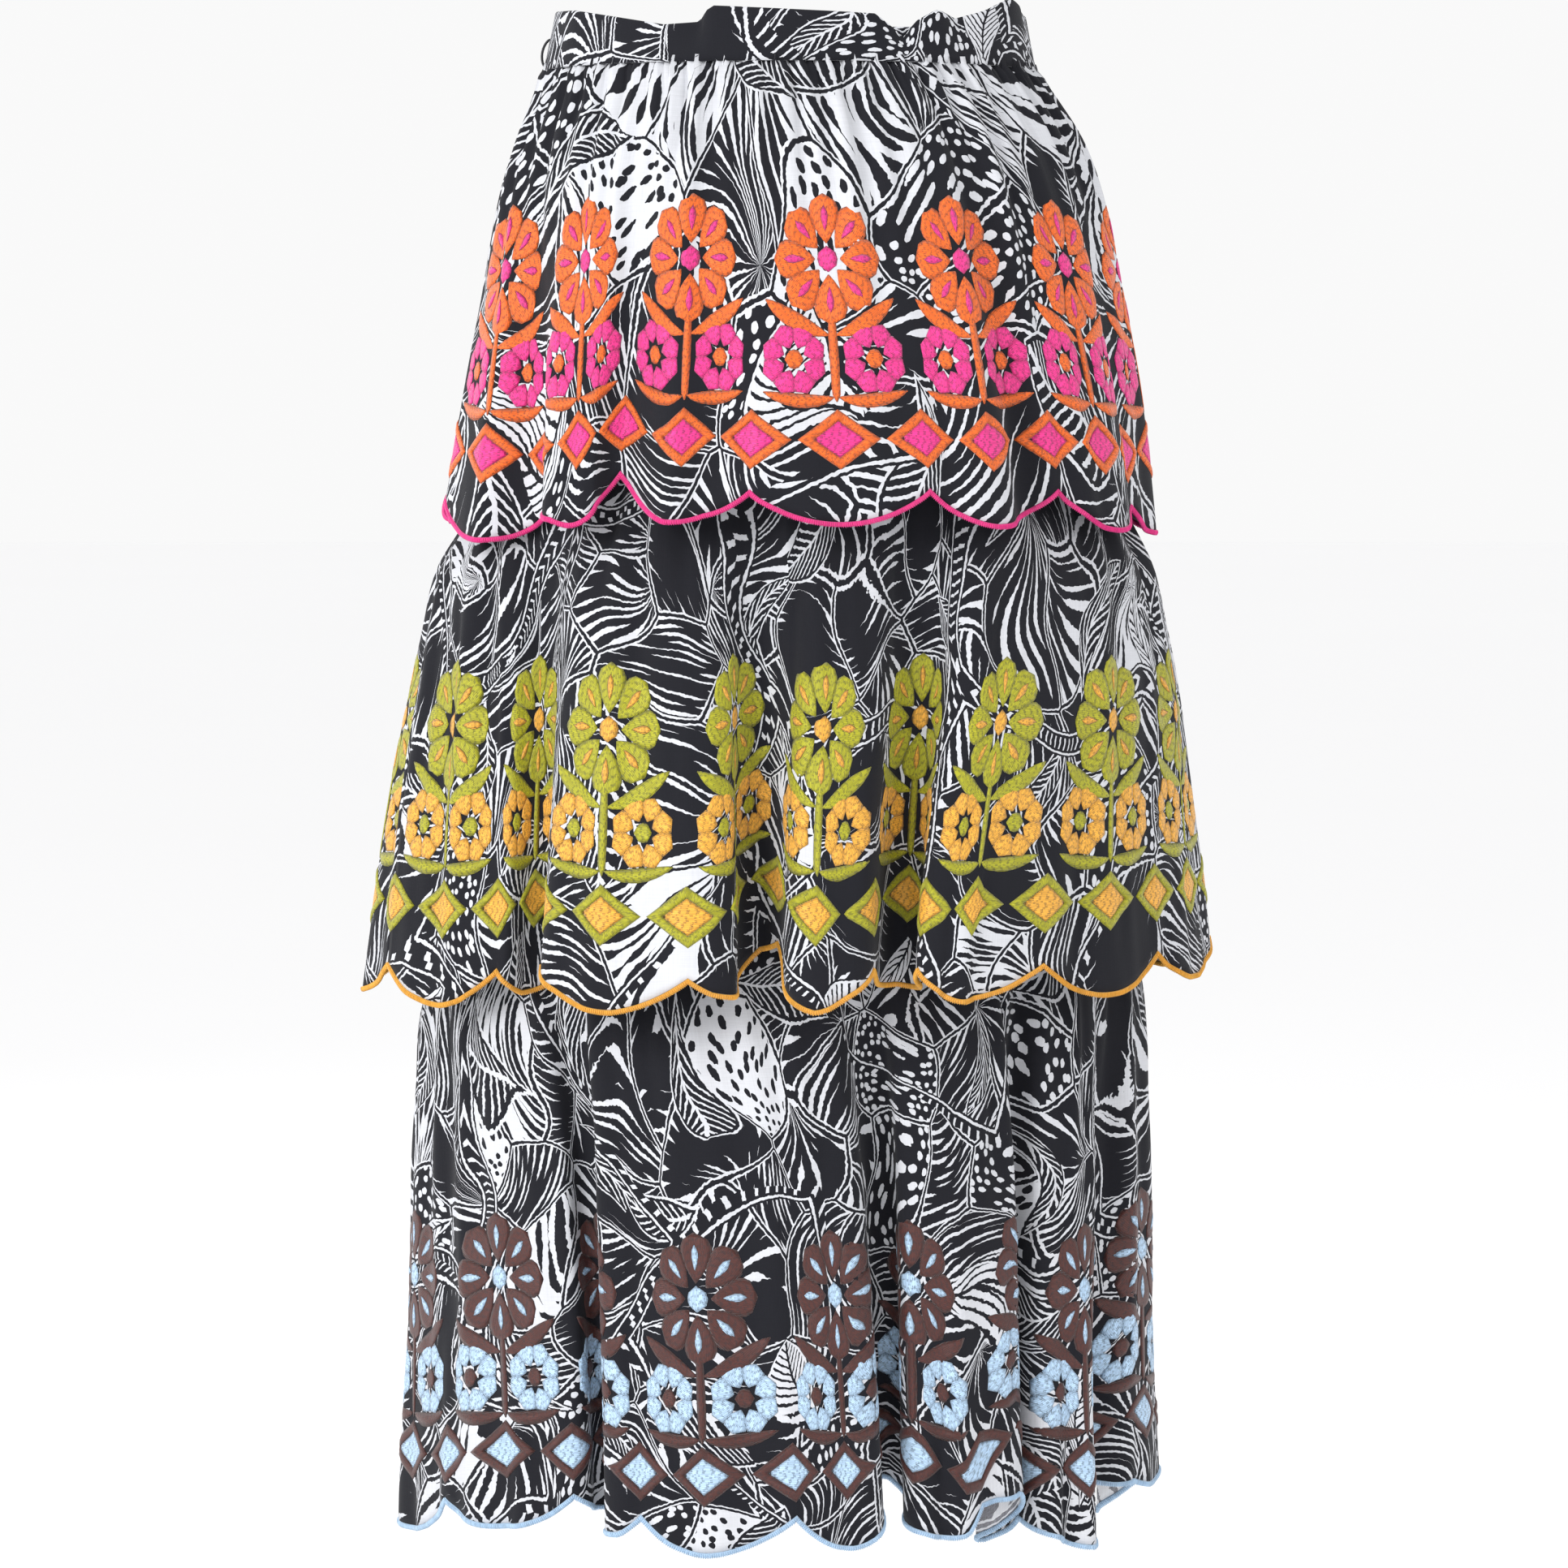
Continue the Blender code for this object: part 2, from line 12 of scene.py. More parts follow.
import bpy
import numpy as np
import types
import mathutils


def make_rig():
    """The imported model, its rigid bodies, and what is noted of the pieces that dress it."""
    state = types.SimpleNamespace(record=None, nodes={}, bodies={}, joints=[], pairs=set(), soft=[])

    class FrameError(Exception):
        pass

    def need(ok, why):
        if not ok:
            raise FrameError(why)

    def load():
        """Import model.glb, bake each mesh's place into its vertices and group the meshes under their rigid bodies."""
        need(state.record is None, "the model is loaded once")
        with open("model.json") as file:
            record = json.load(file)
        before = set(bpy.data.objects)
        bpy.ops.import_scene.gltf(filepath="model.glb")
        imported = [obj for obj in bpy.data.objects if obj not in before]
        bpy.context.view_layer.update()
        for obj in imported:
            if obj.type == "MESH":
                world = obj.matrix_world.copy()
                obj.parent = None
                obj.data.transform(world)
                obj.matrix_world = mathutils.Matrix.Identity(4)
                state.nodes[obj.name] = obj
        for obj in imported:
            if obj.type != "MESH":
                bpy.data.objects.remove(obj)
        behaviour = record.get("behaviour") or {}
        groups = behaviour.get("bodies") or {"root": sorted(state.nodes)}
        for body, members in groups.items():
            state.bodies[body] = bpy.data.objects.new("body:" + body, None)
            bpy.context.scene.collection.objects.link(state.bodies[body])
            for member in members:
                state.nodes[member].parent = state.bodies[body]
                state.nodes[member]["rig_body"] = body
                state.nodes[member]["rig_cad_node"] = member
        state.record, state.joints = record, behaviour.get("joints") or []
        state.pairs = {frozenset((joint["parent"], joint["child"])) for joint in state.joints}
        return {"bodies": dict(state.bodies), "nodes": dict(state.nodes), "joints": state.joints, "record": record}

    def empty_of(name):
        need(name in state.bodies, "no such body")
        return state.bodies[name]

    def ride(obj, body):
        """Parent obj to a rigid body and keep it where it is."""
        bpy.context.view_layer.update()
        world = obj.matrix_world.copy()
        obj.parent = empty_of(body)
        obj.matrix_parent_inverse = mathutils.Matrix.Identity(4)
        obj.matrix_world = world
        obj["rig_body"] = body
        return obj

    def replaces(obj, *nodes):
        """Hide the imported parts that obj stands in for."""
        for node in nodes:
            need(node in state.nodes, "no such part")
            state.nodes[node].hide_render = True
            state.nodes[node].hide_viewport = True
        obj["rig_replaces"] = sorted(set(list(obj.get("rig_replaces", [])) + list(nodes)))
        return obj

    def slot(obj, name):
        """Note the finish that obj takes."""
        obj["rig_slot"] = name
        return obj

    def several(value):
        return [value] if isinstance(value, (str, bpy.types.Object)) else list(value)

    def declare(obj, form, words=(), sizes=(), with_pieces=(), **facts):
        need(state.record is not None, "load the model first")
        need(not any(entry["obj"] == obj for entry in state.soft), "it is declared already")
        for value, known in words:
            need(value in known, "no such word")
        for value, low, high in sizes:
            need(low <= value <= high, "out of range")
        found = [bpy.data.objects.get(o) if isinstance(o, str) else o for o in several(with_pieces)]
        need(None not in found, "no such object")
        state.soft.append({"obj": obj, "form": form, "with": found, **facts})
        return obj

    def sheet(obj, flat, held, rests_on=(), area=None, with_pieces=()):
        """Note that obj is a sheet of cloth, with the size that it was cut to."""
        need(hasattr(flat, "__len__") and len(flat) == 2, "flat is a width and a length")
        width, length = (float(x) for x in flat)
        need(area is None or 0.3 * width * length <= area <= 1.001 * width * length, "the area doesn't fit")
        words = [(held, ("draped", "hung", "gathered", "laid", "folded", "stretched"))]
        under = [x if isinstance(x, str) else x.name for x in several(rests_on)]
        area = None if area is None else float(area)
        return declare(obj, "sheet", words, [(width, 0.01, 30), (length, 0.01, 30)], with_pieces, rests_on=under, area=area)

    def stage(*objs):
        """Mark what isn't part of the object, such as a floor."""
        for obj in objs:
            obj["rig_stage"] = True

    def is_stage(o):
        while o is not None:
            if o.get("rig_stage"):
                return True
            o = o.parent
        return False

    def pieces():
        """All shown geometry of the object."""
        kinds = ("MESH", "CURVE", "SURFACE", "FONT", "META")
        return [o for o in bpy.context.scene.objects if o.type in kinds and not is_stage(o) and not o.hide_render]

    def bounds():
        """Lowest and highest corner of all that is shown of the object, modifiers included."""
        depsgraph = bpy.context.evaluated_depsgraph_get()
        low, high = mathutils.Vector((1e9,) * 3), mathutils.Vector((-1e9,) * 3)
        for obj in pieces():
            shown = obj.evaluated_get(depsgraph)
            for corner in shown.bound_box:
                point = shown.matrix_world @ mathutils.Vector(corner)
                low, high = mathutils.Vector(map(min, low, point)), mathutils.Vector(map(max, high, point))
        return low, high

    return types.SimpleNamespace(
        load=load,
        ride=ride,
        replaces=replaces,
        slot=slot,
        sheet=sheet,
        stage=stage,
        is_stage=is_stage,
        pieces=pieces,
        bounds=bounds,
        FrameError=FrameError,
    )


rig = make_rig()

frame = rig.load()
cad_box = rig.bounds()
MM = 0.001
print("CAD box in mm:", [[round(c / MM, 1) for c in corner] for corner in cad_box])

# %% [markdown]
# ## The camera comes first
# A garment is photographed from straight in front with a long lens, so that its tiers don't look wider
# at the bottom than they are. A 126 mm lens three metres away gives that flat view. It looks down a
# little, so the nearer part of each hem shows lower than its sides.

# %% The camera
CAMERA_AT = (-0.003, -3.0, -0.18)
LOOKS_AT = (-0.003, 0.0, -0.386)
FOCAL_MM, SENSOR_MM = 126.5, 36.0


def put(name, data):
    """A new object in the scene, at the origin."""
    obj = bpy.data.objects.new(name, data)
    bpy.context.scene.collection.objects.link(obj)
    return obj


def add_camera():
    camera = put("camera", bpy.data.cameras.new("camera"))
    camera.data.lens, camera.data.sensor_width = FOCAL_MM, SENSOR_MM
    camera.location = CAMERA_AT
    tilt = math.atan2(CAMERA_AT[2] - LOOKS_AT[2], LOOKS_AT[1] - CAMERA_AT[1])
    camera.rotation_euler = (math.pi / 2 - tilt, 0.0, 0.0)
    bpy.context.scene.camera = camera
    return tilt


print("the camera looks down by", round(math.degrees(add_camera()), 2), "degrees")

# %% [markdown]
# ## The strips as they are cut
# Every tier is a straight strip, cut along one edge into scallops and gathered along the other. A place
# on a strip is told by its repeat, which counts scallops from near the middle of the front, and by how
# far down it lies from the seam. A table of sections gives the rings that the strip lies on, and a table
# of turns gives the places where the hem turns back inwards or outwards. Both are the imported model's, but
# for one fold of the bottom tier, near repeat 1, that turns further under here, so that its hem lifts in
# an arch and shows the wrong side.

# %% The tables of the cut
REPEAT = 96.0  # millimetres of flat cloth from one point of the scallops to the next
SCALLOP_DEPTH = 17.0
MIDDLE_SEAM, BOTTOM_SEAM, SEAM_GAP = 195.0, 440.0, 0.3

# A ring at a drop below the seam, with its share of the hem's folds and the size of its gathers.
Section = namedtuple("Section", "drop half_width half_depth centre_x fold_share gather")
# A place on the hem: its bearing in degrees, and how far out and how much higher than level it lies.
Turn = namedtuple("Turn", "repeat bearing out lift")
Strip = namedtuple(
    "Strip", "name top way repeats first_repeat middle_repeat gathers length scallop sections turns"
)


def table(kind, *rows):
    return [kind(*row) for row in rows]


TOP_TIER = Strip(
    "top_tier", -SEAM_GAP, -1, 14, -3.5, -0.10, 4, 226.0, SCALLOP_DEPTH,
    sections=table(
        Section,
        (0, 133.0, 103.0, 0.5, 0.0, 1.6), (12, 138.0, 109.0, 3.0, 0.04, 2.2),
        (35, 149.5, 119.0, 5.5, 0.12, 2.0), (60, 158.0, 126.0, 6.0, 0.24, 1.4),
        (90, 164.0, 132.0, 6.0, 0.38, 0.8), (125, 169.5, 137.0, 6.0, 0.52, 0.3),
        (160, 175.0, 142.0, 5.5, 0.66, 0.0), (195, 179.5, 147.0, 4.5, 0.82, 0.0),
        (245, 185.5, 152.0, 3.0, 1.0, 0.0),
    ),
    turns=table(
        Turn,
        (-3.45, -76, 9, -4), (-3.05, -61, 9, -6), (-2.60, -50, -11, -7), (-2.28, -40, 12, 0),
        (-2.00, -36, 14, 3), (-1.48, -31, -6, 13), (-1.12, -21, 9, 4), (-0.84, -15, 2, 6),
        (-0.45, -6, 8, 3), (0.45, 21, 6, 4), (1.00, 33, 11, 2), (1.30, 43, -5, 3), (1.52, 49, 4, 3),
        (1.95, 58, 12, 0), (2.50, 75, 3, -6), (3.00, 91, 9, -4), (3.45, 104, -7, 2), (4.00, 117, 16, 0),
        (4.55, 130, -12, 3), (5.10, 144, 20, 1), (5.65, 158, -14, 5), (6.20, 171, 21, 0),
        (6.75, 185, -14, 2), (7.30, 199, 21, 1), (7.85, 213, -12, 4), (8.40, 227, 20, 0),
        (8.95, 241, -7, 3), (9.50, 255, 16, 0), (10.05, 270, 0, 2),
    ),
)
MIDDLE_TIER = Strip(
    "middle_tier", -MIDDLE_SEAM - SEAM_GAP, -1, 18, -4.5, -0.30, 2, 278.0, SCALLOP_DEPTH,
    sections=table(
        Section,
        (0, 158.0, 121.0, 3.5, 0.0, 1.4), (25, 166.0, 125.0, 4.0, 0.05, 1.4),
        (48, 177.0, 130.0, 4.5, 0.14, 1.0), (72, 188.0, 140.0, 4.0, 0.33, 0.5),
        (105, 194.0, 150.0, 4.0, 0.48, 0.0), (140, 199.0, 158.0, 4.0, 0.60, 0.0),
        (175, 203.0, 164.0, 2.5, 0.72, 0.0), (212, 207.0, 170.0, 1.5, 0.83, 0.0),
        (250, 211.0, 175.0, 1.0, 0.93, 0.0), (300, 216.0, 180.0, 0.0, 1.0, 0.0),
    ),
    turns=table(
        Turn,
        (-5.00, -84, 16, -4), (-4.45, -68, 15, -3), (-4.00, -56, 9, -4), (-3.50, -46, 0, -1),
        (-2.85, -42, -24, 6), (-2.32, -32, 17, 3), (-1.90, -23, 20, 0), (-1.38, -10, 18, 1),
        (-0.66, -5, -26, 22), (0.00, 3, 19, 2), (0.30, 7, 17, 3), (0.95, 17, -28, 11), (1.65, 19, 19, 4),
        (2.10, 24, 18, 7), (2.90, 45, 12, 4), (3.50, 61, 9, 5), (4.00, 74, 12, 6), (4.50, 87, 14, 6),
        (5.10, 99, -12, 5), (5.70, 112, 19, 0), (6.30, 126, -18, 4), (6.90, 139, 19, 0),
        (7.50, 152, -19, 3), (8.10, 166, 19, 0), (8.70, 179, -19, 5), (9.30, 192, 19, 0),
        (9.90, 206, -19, 3), (10.50, 219, 19, 0), (11.10, 232, -18, 4), (11.70, 245, 18, 0),
        (12.35, 262, -12, 2),
    ),
)
BOTTOM_TIER = Strip(
    "bottom_tier", -BOTTOM_SEAM - SEAM_GAP, -1, 18, -5.5, -0.95, 2, 316.0, SCALLOP_DEPTH,
    sections=table(
        Section,
        (0, 172.0, 136.0, -1.0, 0.0, 1.4), (25, 185.0, 141.0, -2.0, 0.12, 1.4),
        (50, 191.0, 147.0, -3.0, 0.26, 1.0), (75, 193.5, 153.0, -4.0, 0.42, 0.4),
        (110, 193.0, 156.0, -4.5, 0.58, 0.0), (145, 194.0, 158.0, -5.0, 0.68, 0.0),
        (200, 194.0, 160.0, -5.5, 0.80, 0.0), (255, 194.0, 162.0, -6.0, 0.90, 0.0),
        (340, 196.5, 164.0, -6.0, 1.0, 0.0),
    ),
    turns=table(
        Turn,
        (-5.25, -89, 11, -18), (-4.75, -71, 4, -13), (-4.00, -45, 8, 4), (-3.50, -32, 4, 7),
        (-3.10, -30, -20, 14), (-2.68, -23, 18, 2), (-2.00, -10, 22, 1), (-1.50, 3, 20, 4),
        (-0.85, 12.5, 18, 4), (-0.38, 20, -26, 22), (0.05, 22, 9, 8), (0.40, 28, 16, -4),
        (0.60, 34, 14, 12), (0.80, 39, 8, 22), (1.27, 38.5, -26, -12), (1.72, 46, 12, -7),
        (2.05, 51, 18, -8), (2.45, 58, -10, 2), (2.85, 68, 12, 16), (3.35, 84, 14, 6),
        (3.90, 92, -20, -14), (4.45, 106, 18, 0), (5.00, 117, -20, 6), (5.55, 129, 19, -2),
        (6.10, 140, -20, 8), (6.70, 152, 20, 0), (7.30, 164, -21, 5), (7.90, 176, 20, -3),
        (8.50, 188, -21, 7), (9.10, 200, 20, 0), (9.70, 212, -21, 6), (10.30, 224, 20, -3),
        (10.90, 236, -19, 6), (11.50, 247, 18, -4), (12.10, 258, -14, -6),
    ),
)
WAISTBAND = Strip(
    "waistband", 0.0, 1, 8, -2.0, 0.0, 0, 25.0, 0.0,
    sections=table(
        Section,
        (0, 132.2, 102.2, 0.0, 0.0, 0.0), (12, 129.5, 99.0, 0.0, 0.4, 0.0),
        (36, 124.5, 95.0, 0.0, 1.0, 0.0),
    ),
    turns=table(
        Turn,
        (-2.00, -90, 0, 7), (-1.46, -63, 2, 5), (-1.10, -46, 0, 0), (-0.77, -31, -3, -5),
        (-0.56, -22.5, -5, -4), (-0.44, -18, 5, 4), (0.00, 0, 3, 2), (0.50, 20, 4, 0), (0.60, 24, 1, -6),
        (0.68, 27, -5, -13), (0.78, 31, 2, -3), (0.90, 36.5, 4, 3), (1.06, 44, -2, -1), (1.26, 54, 2, 4),
        (1.52, 66, 4, 12), (1.86, 83, 0, 5), (2.10, 95, 1, 5), (2.35, 107, -3, 5), (2.60, 119, 3, 5),
        (2.85, 131, -3, 5), (3.10, 141, 3, 5), (3.35, 152, -3, 5), (3.60, 162, 3, 5), (3.85, 173, -3, 5),
        (4.10, 184, 3, 5), (4.35, 195, -3, 5), (4.60, 205, 3, 5), (4.85, 216, -3, 5), (5.10, 227, 3, 5),
        (5.35, 238, -3, 5), (5.65, 251, 3, 6),
    ),
)
print("flat cloth in the tiers, mm:", [s.repeats * REPEAT for s in (TOP_TIER, MIDDLE_TIER, BOTTOM_TIER)])

# %% [markdown]
# ## From flat cloth to hanging cloth
# Gathered cloth lies evenly along its seam and falls into deeper folds below. Between two turns of the
# hem the cloth swings in a soft S, as a hanging frill does, so the way from one turn to the next is
# added up from small steps whose heading rises and falls like a sine wave.

# %% Rings and swings
WIDEST_SWING = math.radians(150)
SWING_STEPS = 24
RING_STEPS = 720
ASPECT = 0.79  # depth over width of the rings, for spacing points evenly along them


def smooth_value(rows, field, at):
    """A column of a table at the drops given, on a smooth curve through the rows."""
    drops = np.array([row.drop for row in rows], float)
    values = np.array([getattr(row, field) for row in rows], float)
    slopes = np.gradient(values, drops)
    at = np.clip(at, drops[0], drops[-1])
    left = np.clip(np.searchsorted(drops, at, side="right") - 1, 0, len(drops) - 2)
    span = drops[left + 1] - drops[left]
    t = (at - drops[left]) / span
    rise = values[left + 1] - values[left]
    bend_in = slopes[left] * span - rise
    bend_out = rise - slopes[left + 1] * span
    return values[left] + rise * t + t * (1 - t) * ((1 - t) * bend_in + t * bend_out)


def even_angles():
    """Bearings evenly spaced along a ring of the usual aspect, for each share of a turn."""
    bearings = np.linspace(0, 360, RING_STEPS + 1)
    angles = np.radians(bearings)
    steps = np.hypot(np.diff(np.sin(angles)), ASPECT * np.diff(np.cos(angles)))
    return np.concatenate([[0.0], np.cumsum(steps)]) / steps.sum(), bearings


RING_SHARES, RING_BEARINGS = even_angles()
SWINGS = np.linspace(0, WIDEST_SWING, 160)
SWING_WAVE = np.sin(math.pi * (np.arange(SWING_STEPS) + 0.5) / SWING_STEPS)
SWING_STEEPNESS = np.arctan2(
    np.sin(SWINGS[:, None] * SWING_WAVE).mean(axis=1), np.cos(SWINGS[:, None] * SWING_WAVE).mean(axis=1)
)


def swing_between(across, rise):
    """How far the cloth has got across and out, step by step, as it swings from one turn to the next."""
    heading = np.interp(math.atan2(abs(rise), across), SWING_STEEPNESS, SWINGS) * SWING_WAVE
    run = np.concatenate([[0.0], np.cumsum(np.cos(heading))])
    climb = np.concatenate([[0.0], np.cumsum(np.sin(heading))])
    size = math.hypot(across, rise) / math.hypot(run[-1], climb[-1])
    return run * size, climb * size * math.copysign(1, rise)


def closed_turns(strip):
    """The strip's turns, with the first one again at the far end."""
    first = strip.turns[0]
    return [*strip.turns, first._replace(repeat=first.repeat + strip.repeats, bearing=first.bearing + 360)]


def hem_line(strip):
    """The strip seen from above at its free edge: repeats, and the bearing and way out of each."""
    ring, first = strip.sections[-1], strip.turns[0]
    repeats, bearings, outs = [first.repeat], [first.bearing], [first.out]
    rows = closed_turns(strip)
    for here, there in zip(rows[:-1], rows[1:]):
        middle = math.radians((here.bearing + there.bearing) / 2)
        a_degree = math.hypot(ring.half_width * math.cos(middle), ring.half_depth * math.sin(middle))
        a_degree *= math.pi / 180
        across, climb = swing_between((there.bearing - here.bearing) * a_degree, there.out - here.out)
        repeats.extend(np.linspace(here.repeat, there.repeat, SWING_STEPS + 1)[1:])
        bearings.extend(here.bearing + across[1:] / a_degree)
        outs.extend(here.out + climb[1:])
    return np.array(repeats), np.array(bearings), np.array(outs)


def ring_place(bearing, half_width, half_depth, centre_x, out):
    """A place on a ring, moved outwards."""
    angle = np.radians(bearing)
    facing_x, facing_y = half_depth * np.sin(angle), -half_width * np.cos(angle)
    size = np.hypot(facing_x, facing_y)
    x = centre_x + half_width * np.sin(angle) + out * facing_x / size
    y = -half_depth * np.cos(angle) + out * facing_y / size
    return x, y


# %% [markdown]
# ## Soft creases and fine gathers
# No two gathers are alike, and pressed cotton still has slow creases that run down from its seam. A sum
# of a few slow waves gives them: each wave goes a whole number of times round the strip, so that the
# cloth meets itself at the side seam. The numbers come from a seeded generator, so every run is the same.

# %% The hanging cloth
Creases = namedtuple("Creases", "slow fine gathers tuck")
SAME_ALL_THE_WAY_DOWN = 1e9
SEAM_GATHERS = 11  # fine gathers a repeat, next to the seam
GATHERS_FADE, CREASES_GROW = 22.0, 20.0  # over so many millimetres below the seam
TUCK_ENDS, TUCK_OVER = 3.0, 6.0
GATHERS_VARY, GATHERS_WANDER, SEAM_GATHERS_WANDER = 0.35, 1.1, 1.7
STEP_ALONG_SEAM, STEP_DOWN = 0.012, 1.2  # repeats and millimetres, to feel which way the cloth faces


def random_waves(rng, strip, across, down, count=7):
    """Waves as rows of (times round the strip, waves a millimetre down, phase)."""
    around = np.round(strip.repeats * REPEAT * rng.uniform(0.6, 1.6, count) / across)
    return np.column_stack([around, rng.uniform(-1, 1, count) / down, rng.uniform(0, 2 * math.pi, count)])


def wave_height(waves, strip, repeat, drop):
    """The height of a sum of waves at each place, mostly between -1 and 1."""
    total = 0.0
    for around, downwards, phase in waves:
        total = total + np.sin(2 * math.pi * (around * repeat / strip.repeats + downwards * drop) + phase)
    return total / math.sqrt(len(waves))


class Cloth:
    """A strip as it hangs. It turns a place on the flat cloth into a place in space, in millimetres."""

    def __init__(self, strip, seed, creases):
        rng = np.random.default_rng(seed)
        self.strip, self.creases = strip, creases
        self.repeats, self.bearings, self.outs = hem_line(strip)
        self.slow = random_waves(rng, strip, across=46, down=420)
        self.fine = random_waves(rng, strip, across=24, down=110)
        self.warp = random_waves(rng, strip, across=210, down=SAME_ALL_THE_WAY_DOWN, count=4)
        self.strength = random_waves(rng, strip, across=130, down=SAME_ALL_THE_WAY_DOWN, count=4)

    def edge_flat(self, repeat):
        """How far from the seam the free edge is on the flat cloth."""
        from_middle = repeat - np.round(repeat)
        return self.strip.length + self.strip.scallop * (1 - (2 * from_middle) ** 2)

    def edge_drop(self, repeat):
        """The same as it hangs, where some places hang higher than others."""
        rows = closed_turns(self.strip)
        within = rows[0].repeat + (repeat - rows[0].repeat) % self.strip.repeats
        lift = np.interp(within, [row.repeat for row in rows], [row.lift for row in rows])
        return self.edge_flat(repeat) + self.strip.way * lift

    def fold(self, repeat, share):
        """The bearing and the way out of each place: even at the seam, in the hem's folds below."""
        strip = self.strip
        laps, within = np.divmod(repeat - self.repeats[0], strip.repeats)
        within = within + self.repeats[0]
        hem_bearing = 360 * laps + np.interp(within, self.repeats, self.bearings)
        seam_laps, seam_share = np.divmod((repeat - strip.middle_repeat) / strip.repeats, 1.0)
        seam_bearing = 360 * seam_laps + np.interp(seam_share, RING_SHARES, RING_BEARINGS)
        bearing = seam_bearing + (hem_bearing - seam_bearing) * share
        return bearing, np.interp(within, self.repeats, self.outs) * share

    def small_folds(self, repeat, drop, gather):
        """Gathers, creases and the tuck into the seam: how far they move the cloth outwards."""
        strip, creases = self.strip, self.creases
        below = np.maximum(drop, 0.0)
        warp = wave_height(self.warp, strip, repeat, 0.0)
        strength = 1 + GATHERS_VARY * wave_height(self.strength, strip, repeat, 0.0)
        out = gather * strength * np.cos(2 * math.pi * strip.gathers * repeat + GATHERS_WANDER * warp)
        near_seam = creases.gathers * np.exp(-below / GATHERS_FADE)
        seam_phase = 2 * math.pi * SEAM_GATHERS * repeat + SEAM_GATHERS_WANDER * warp
        out = out + near_seam * np.cos(seam_phase) * strength
        fading_in = 1 - np.exp(-below / CREASES_GROW)
        out = out + creases.slow * fading_in * wave_height(self.slow, strip, repeat, drop)
        out = out + creases.fine * fading_in * wave_height(self.fine, strip, repeat, drop)
        return out - creases.tuck * np.clip((TUCK_ENDS - drop) / TUCK_OVER, 0.0, 1.0)

    def middle(self, repeat, down):
        """The middle of the cloth at each (repeat, distance from the seam on the flat cloth)."""
        strip = self.strip
        repeat, down = np.broadcast_arrays(np.asarray(repeat, float), np.asarray(down, float))
        drop = down * self.edge_drop(repeat) / self.edge_flat(repeat)
        ring = {field: smooth_value(strip.sections, field, drop) for field in Section._fields[1:]}
        bearing, out = self.fold(repeat, ring["fold_share"])
        out = out + self.small_folds(repeat, drop, ring["gather"])
        x, y = ring_place(bearing, ring["half_width"], ring["half_depth"], ring["centre_x"], out)
        return np.stack([x, y, strip.top + strip.way * drop], axis=-1)

    def facing(self, repeat, down):
        """The direction that the right side of the cloth faces."""
        step = STEP_ALONG_SEAM
        along = self.middle(repeat + step, down) - self.middle(repeat - step, down)
        onward = self.middle(repeat, down + STEP_DOWN) - self.middle(repeat, down - STEP_DOWN)
        return unit(self.strip.way * np.cross(along, onward))


def unit(vectors):
    return vectors / np.linalg.norm(vectors, axis=-1, keepdims=True)


TIER_CREASES = Creases(slow=1.3, fine=0.28, gathers=1.25, tuck=2.2)
TOP_CREASES = TIER_CREASES._replace(gathers=1.9, tuck=2.6)
BAND_CREASES = Creases(slow=0.35, fine=0.12, gathers=0.0, tuck=0.0)
TIERS = {
    "top": Cloth(TOP_TIER, 11, TOP_CREASES),
    "middle": Cloth(MIDDLE_TIER, 12, TIER_CREASES),
    "bottom": Cloth(BOTTOM_TIER, 13, TIER_CREASES),
}
BAND = Cloth(WAISTBAND, 14, BAND_CREASES)
for name, cloth in TIERS.items():
    line = cloth.middle(cloth.strip.first_repeat + np.linspace(0, cloth.strip.repeats, 1500), 200.0)
    round_it = np.linalg.norm(np.diff(line, axis=0), axis=1).sum()
    print(f"{name} tier: {round_it:.0f} mm round its folds, 200 mm below its seam")

# %% [markdown]
# ## Colours, and sums that make their own nodes
# The cloth has two colours, a blue-black and a cool white. The threads are in pairs: one colour for the
# upper flower and the diamond frames, the other for the lower flowers and the diamond middles. The
# materials hold long sums. What a node gives is wrapped as a value here, and plain arithmetic on values
# adds the node for each step, so a pattern reads as its formula.

# %% Colours and node sums
Thread = namedtuple("Thread", "name colour slot")
BLACK_INK = (0.0105, 0.0108, 0.0150)
WHITE_CLOTH = (0.60, 0.61, 0.645)
ORANGE = Thread("orange", (0.76, 0.128, 0.009), "pink_thread")
PINK = Thread("pink", (0.75, 0.029, 0.235), "pink_thread")
LIME = Thread("lime", (0.355, 0.343, 0.0085), "yellow_thread")
YELLOW = Thread("yellow", (0.75, 0.365, 0.040), "yellow_thread")
BROWN = Thread("brown", (0.068, 0.0165, 0.0125), "blue_thread")
BLUE = Thread("blue", (0.41, 0.57, 0.75), "blue_thread")
FILL_THREADS = (ORANGE, PINK, LIME, YELLOW, BROWN, BLUE)


class Value:
    """What a node gives."""

    def __init__(self, sums, socket):
        self.sums, self.socket = sums, socket


def add_operator(name, operation, turned_round=False):
    """Lets values be written in a sum. turned_round is for a number that stands before its value."""
    def method(self, *others):
        return self.sums.do(operation, *((*others, self) if turned_round else (self, *others)))

    setattr(Value, f"__{name}__", method)


for name, operation in {"add": "ADD", "sub": "SUBTRACT", "mul": "MULTIPLY", "truediv": "DIVIDE"}.items():
    add_operator(name, operation)
    add_operator("r" + name, operation, turned_round=True)
for name, operation in {"pow": "POWER", "abs": "ABSOLUTE", "lt": "LESS_THAN", "gt": "GREATER_THAN"}.items():
    add_operator(name, operation)


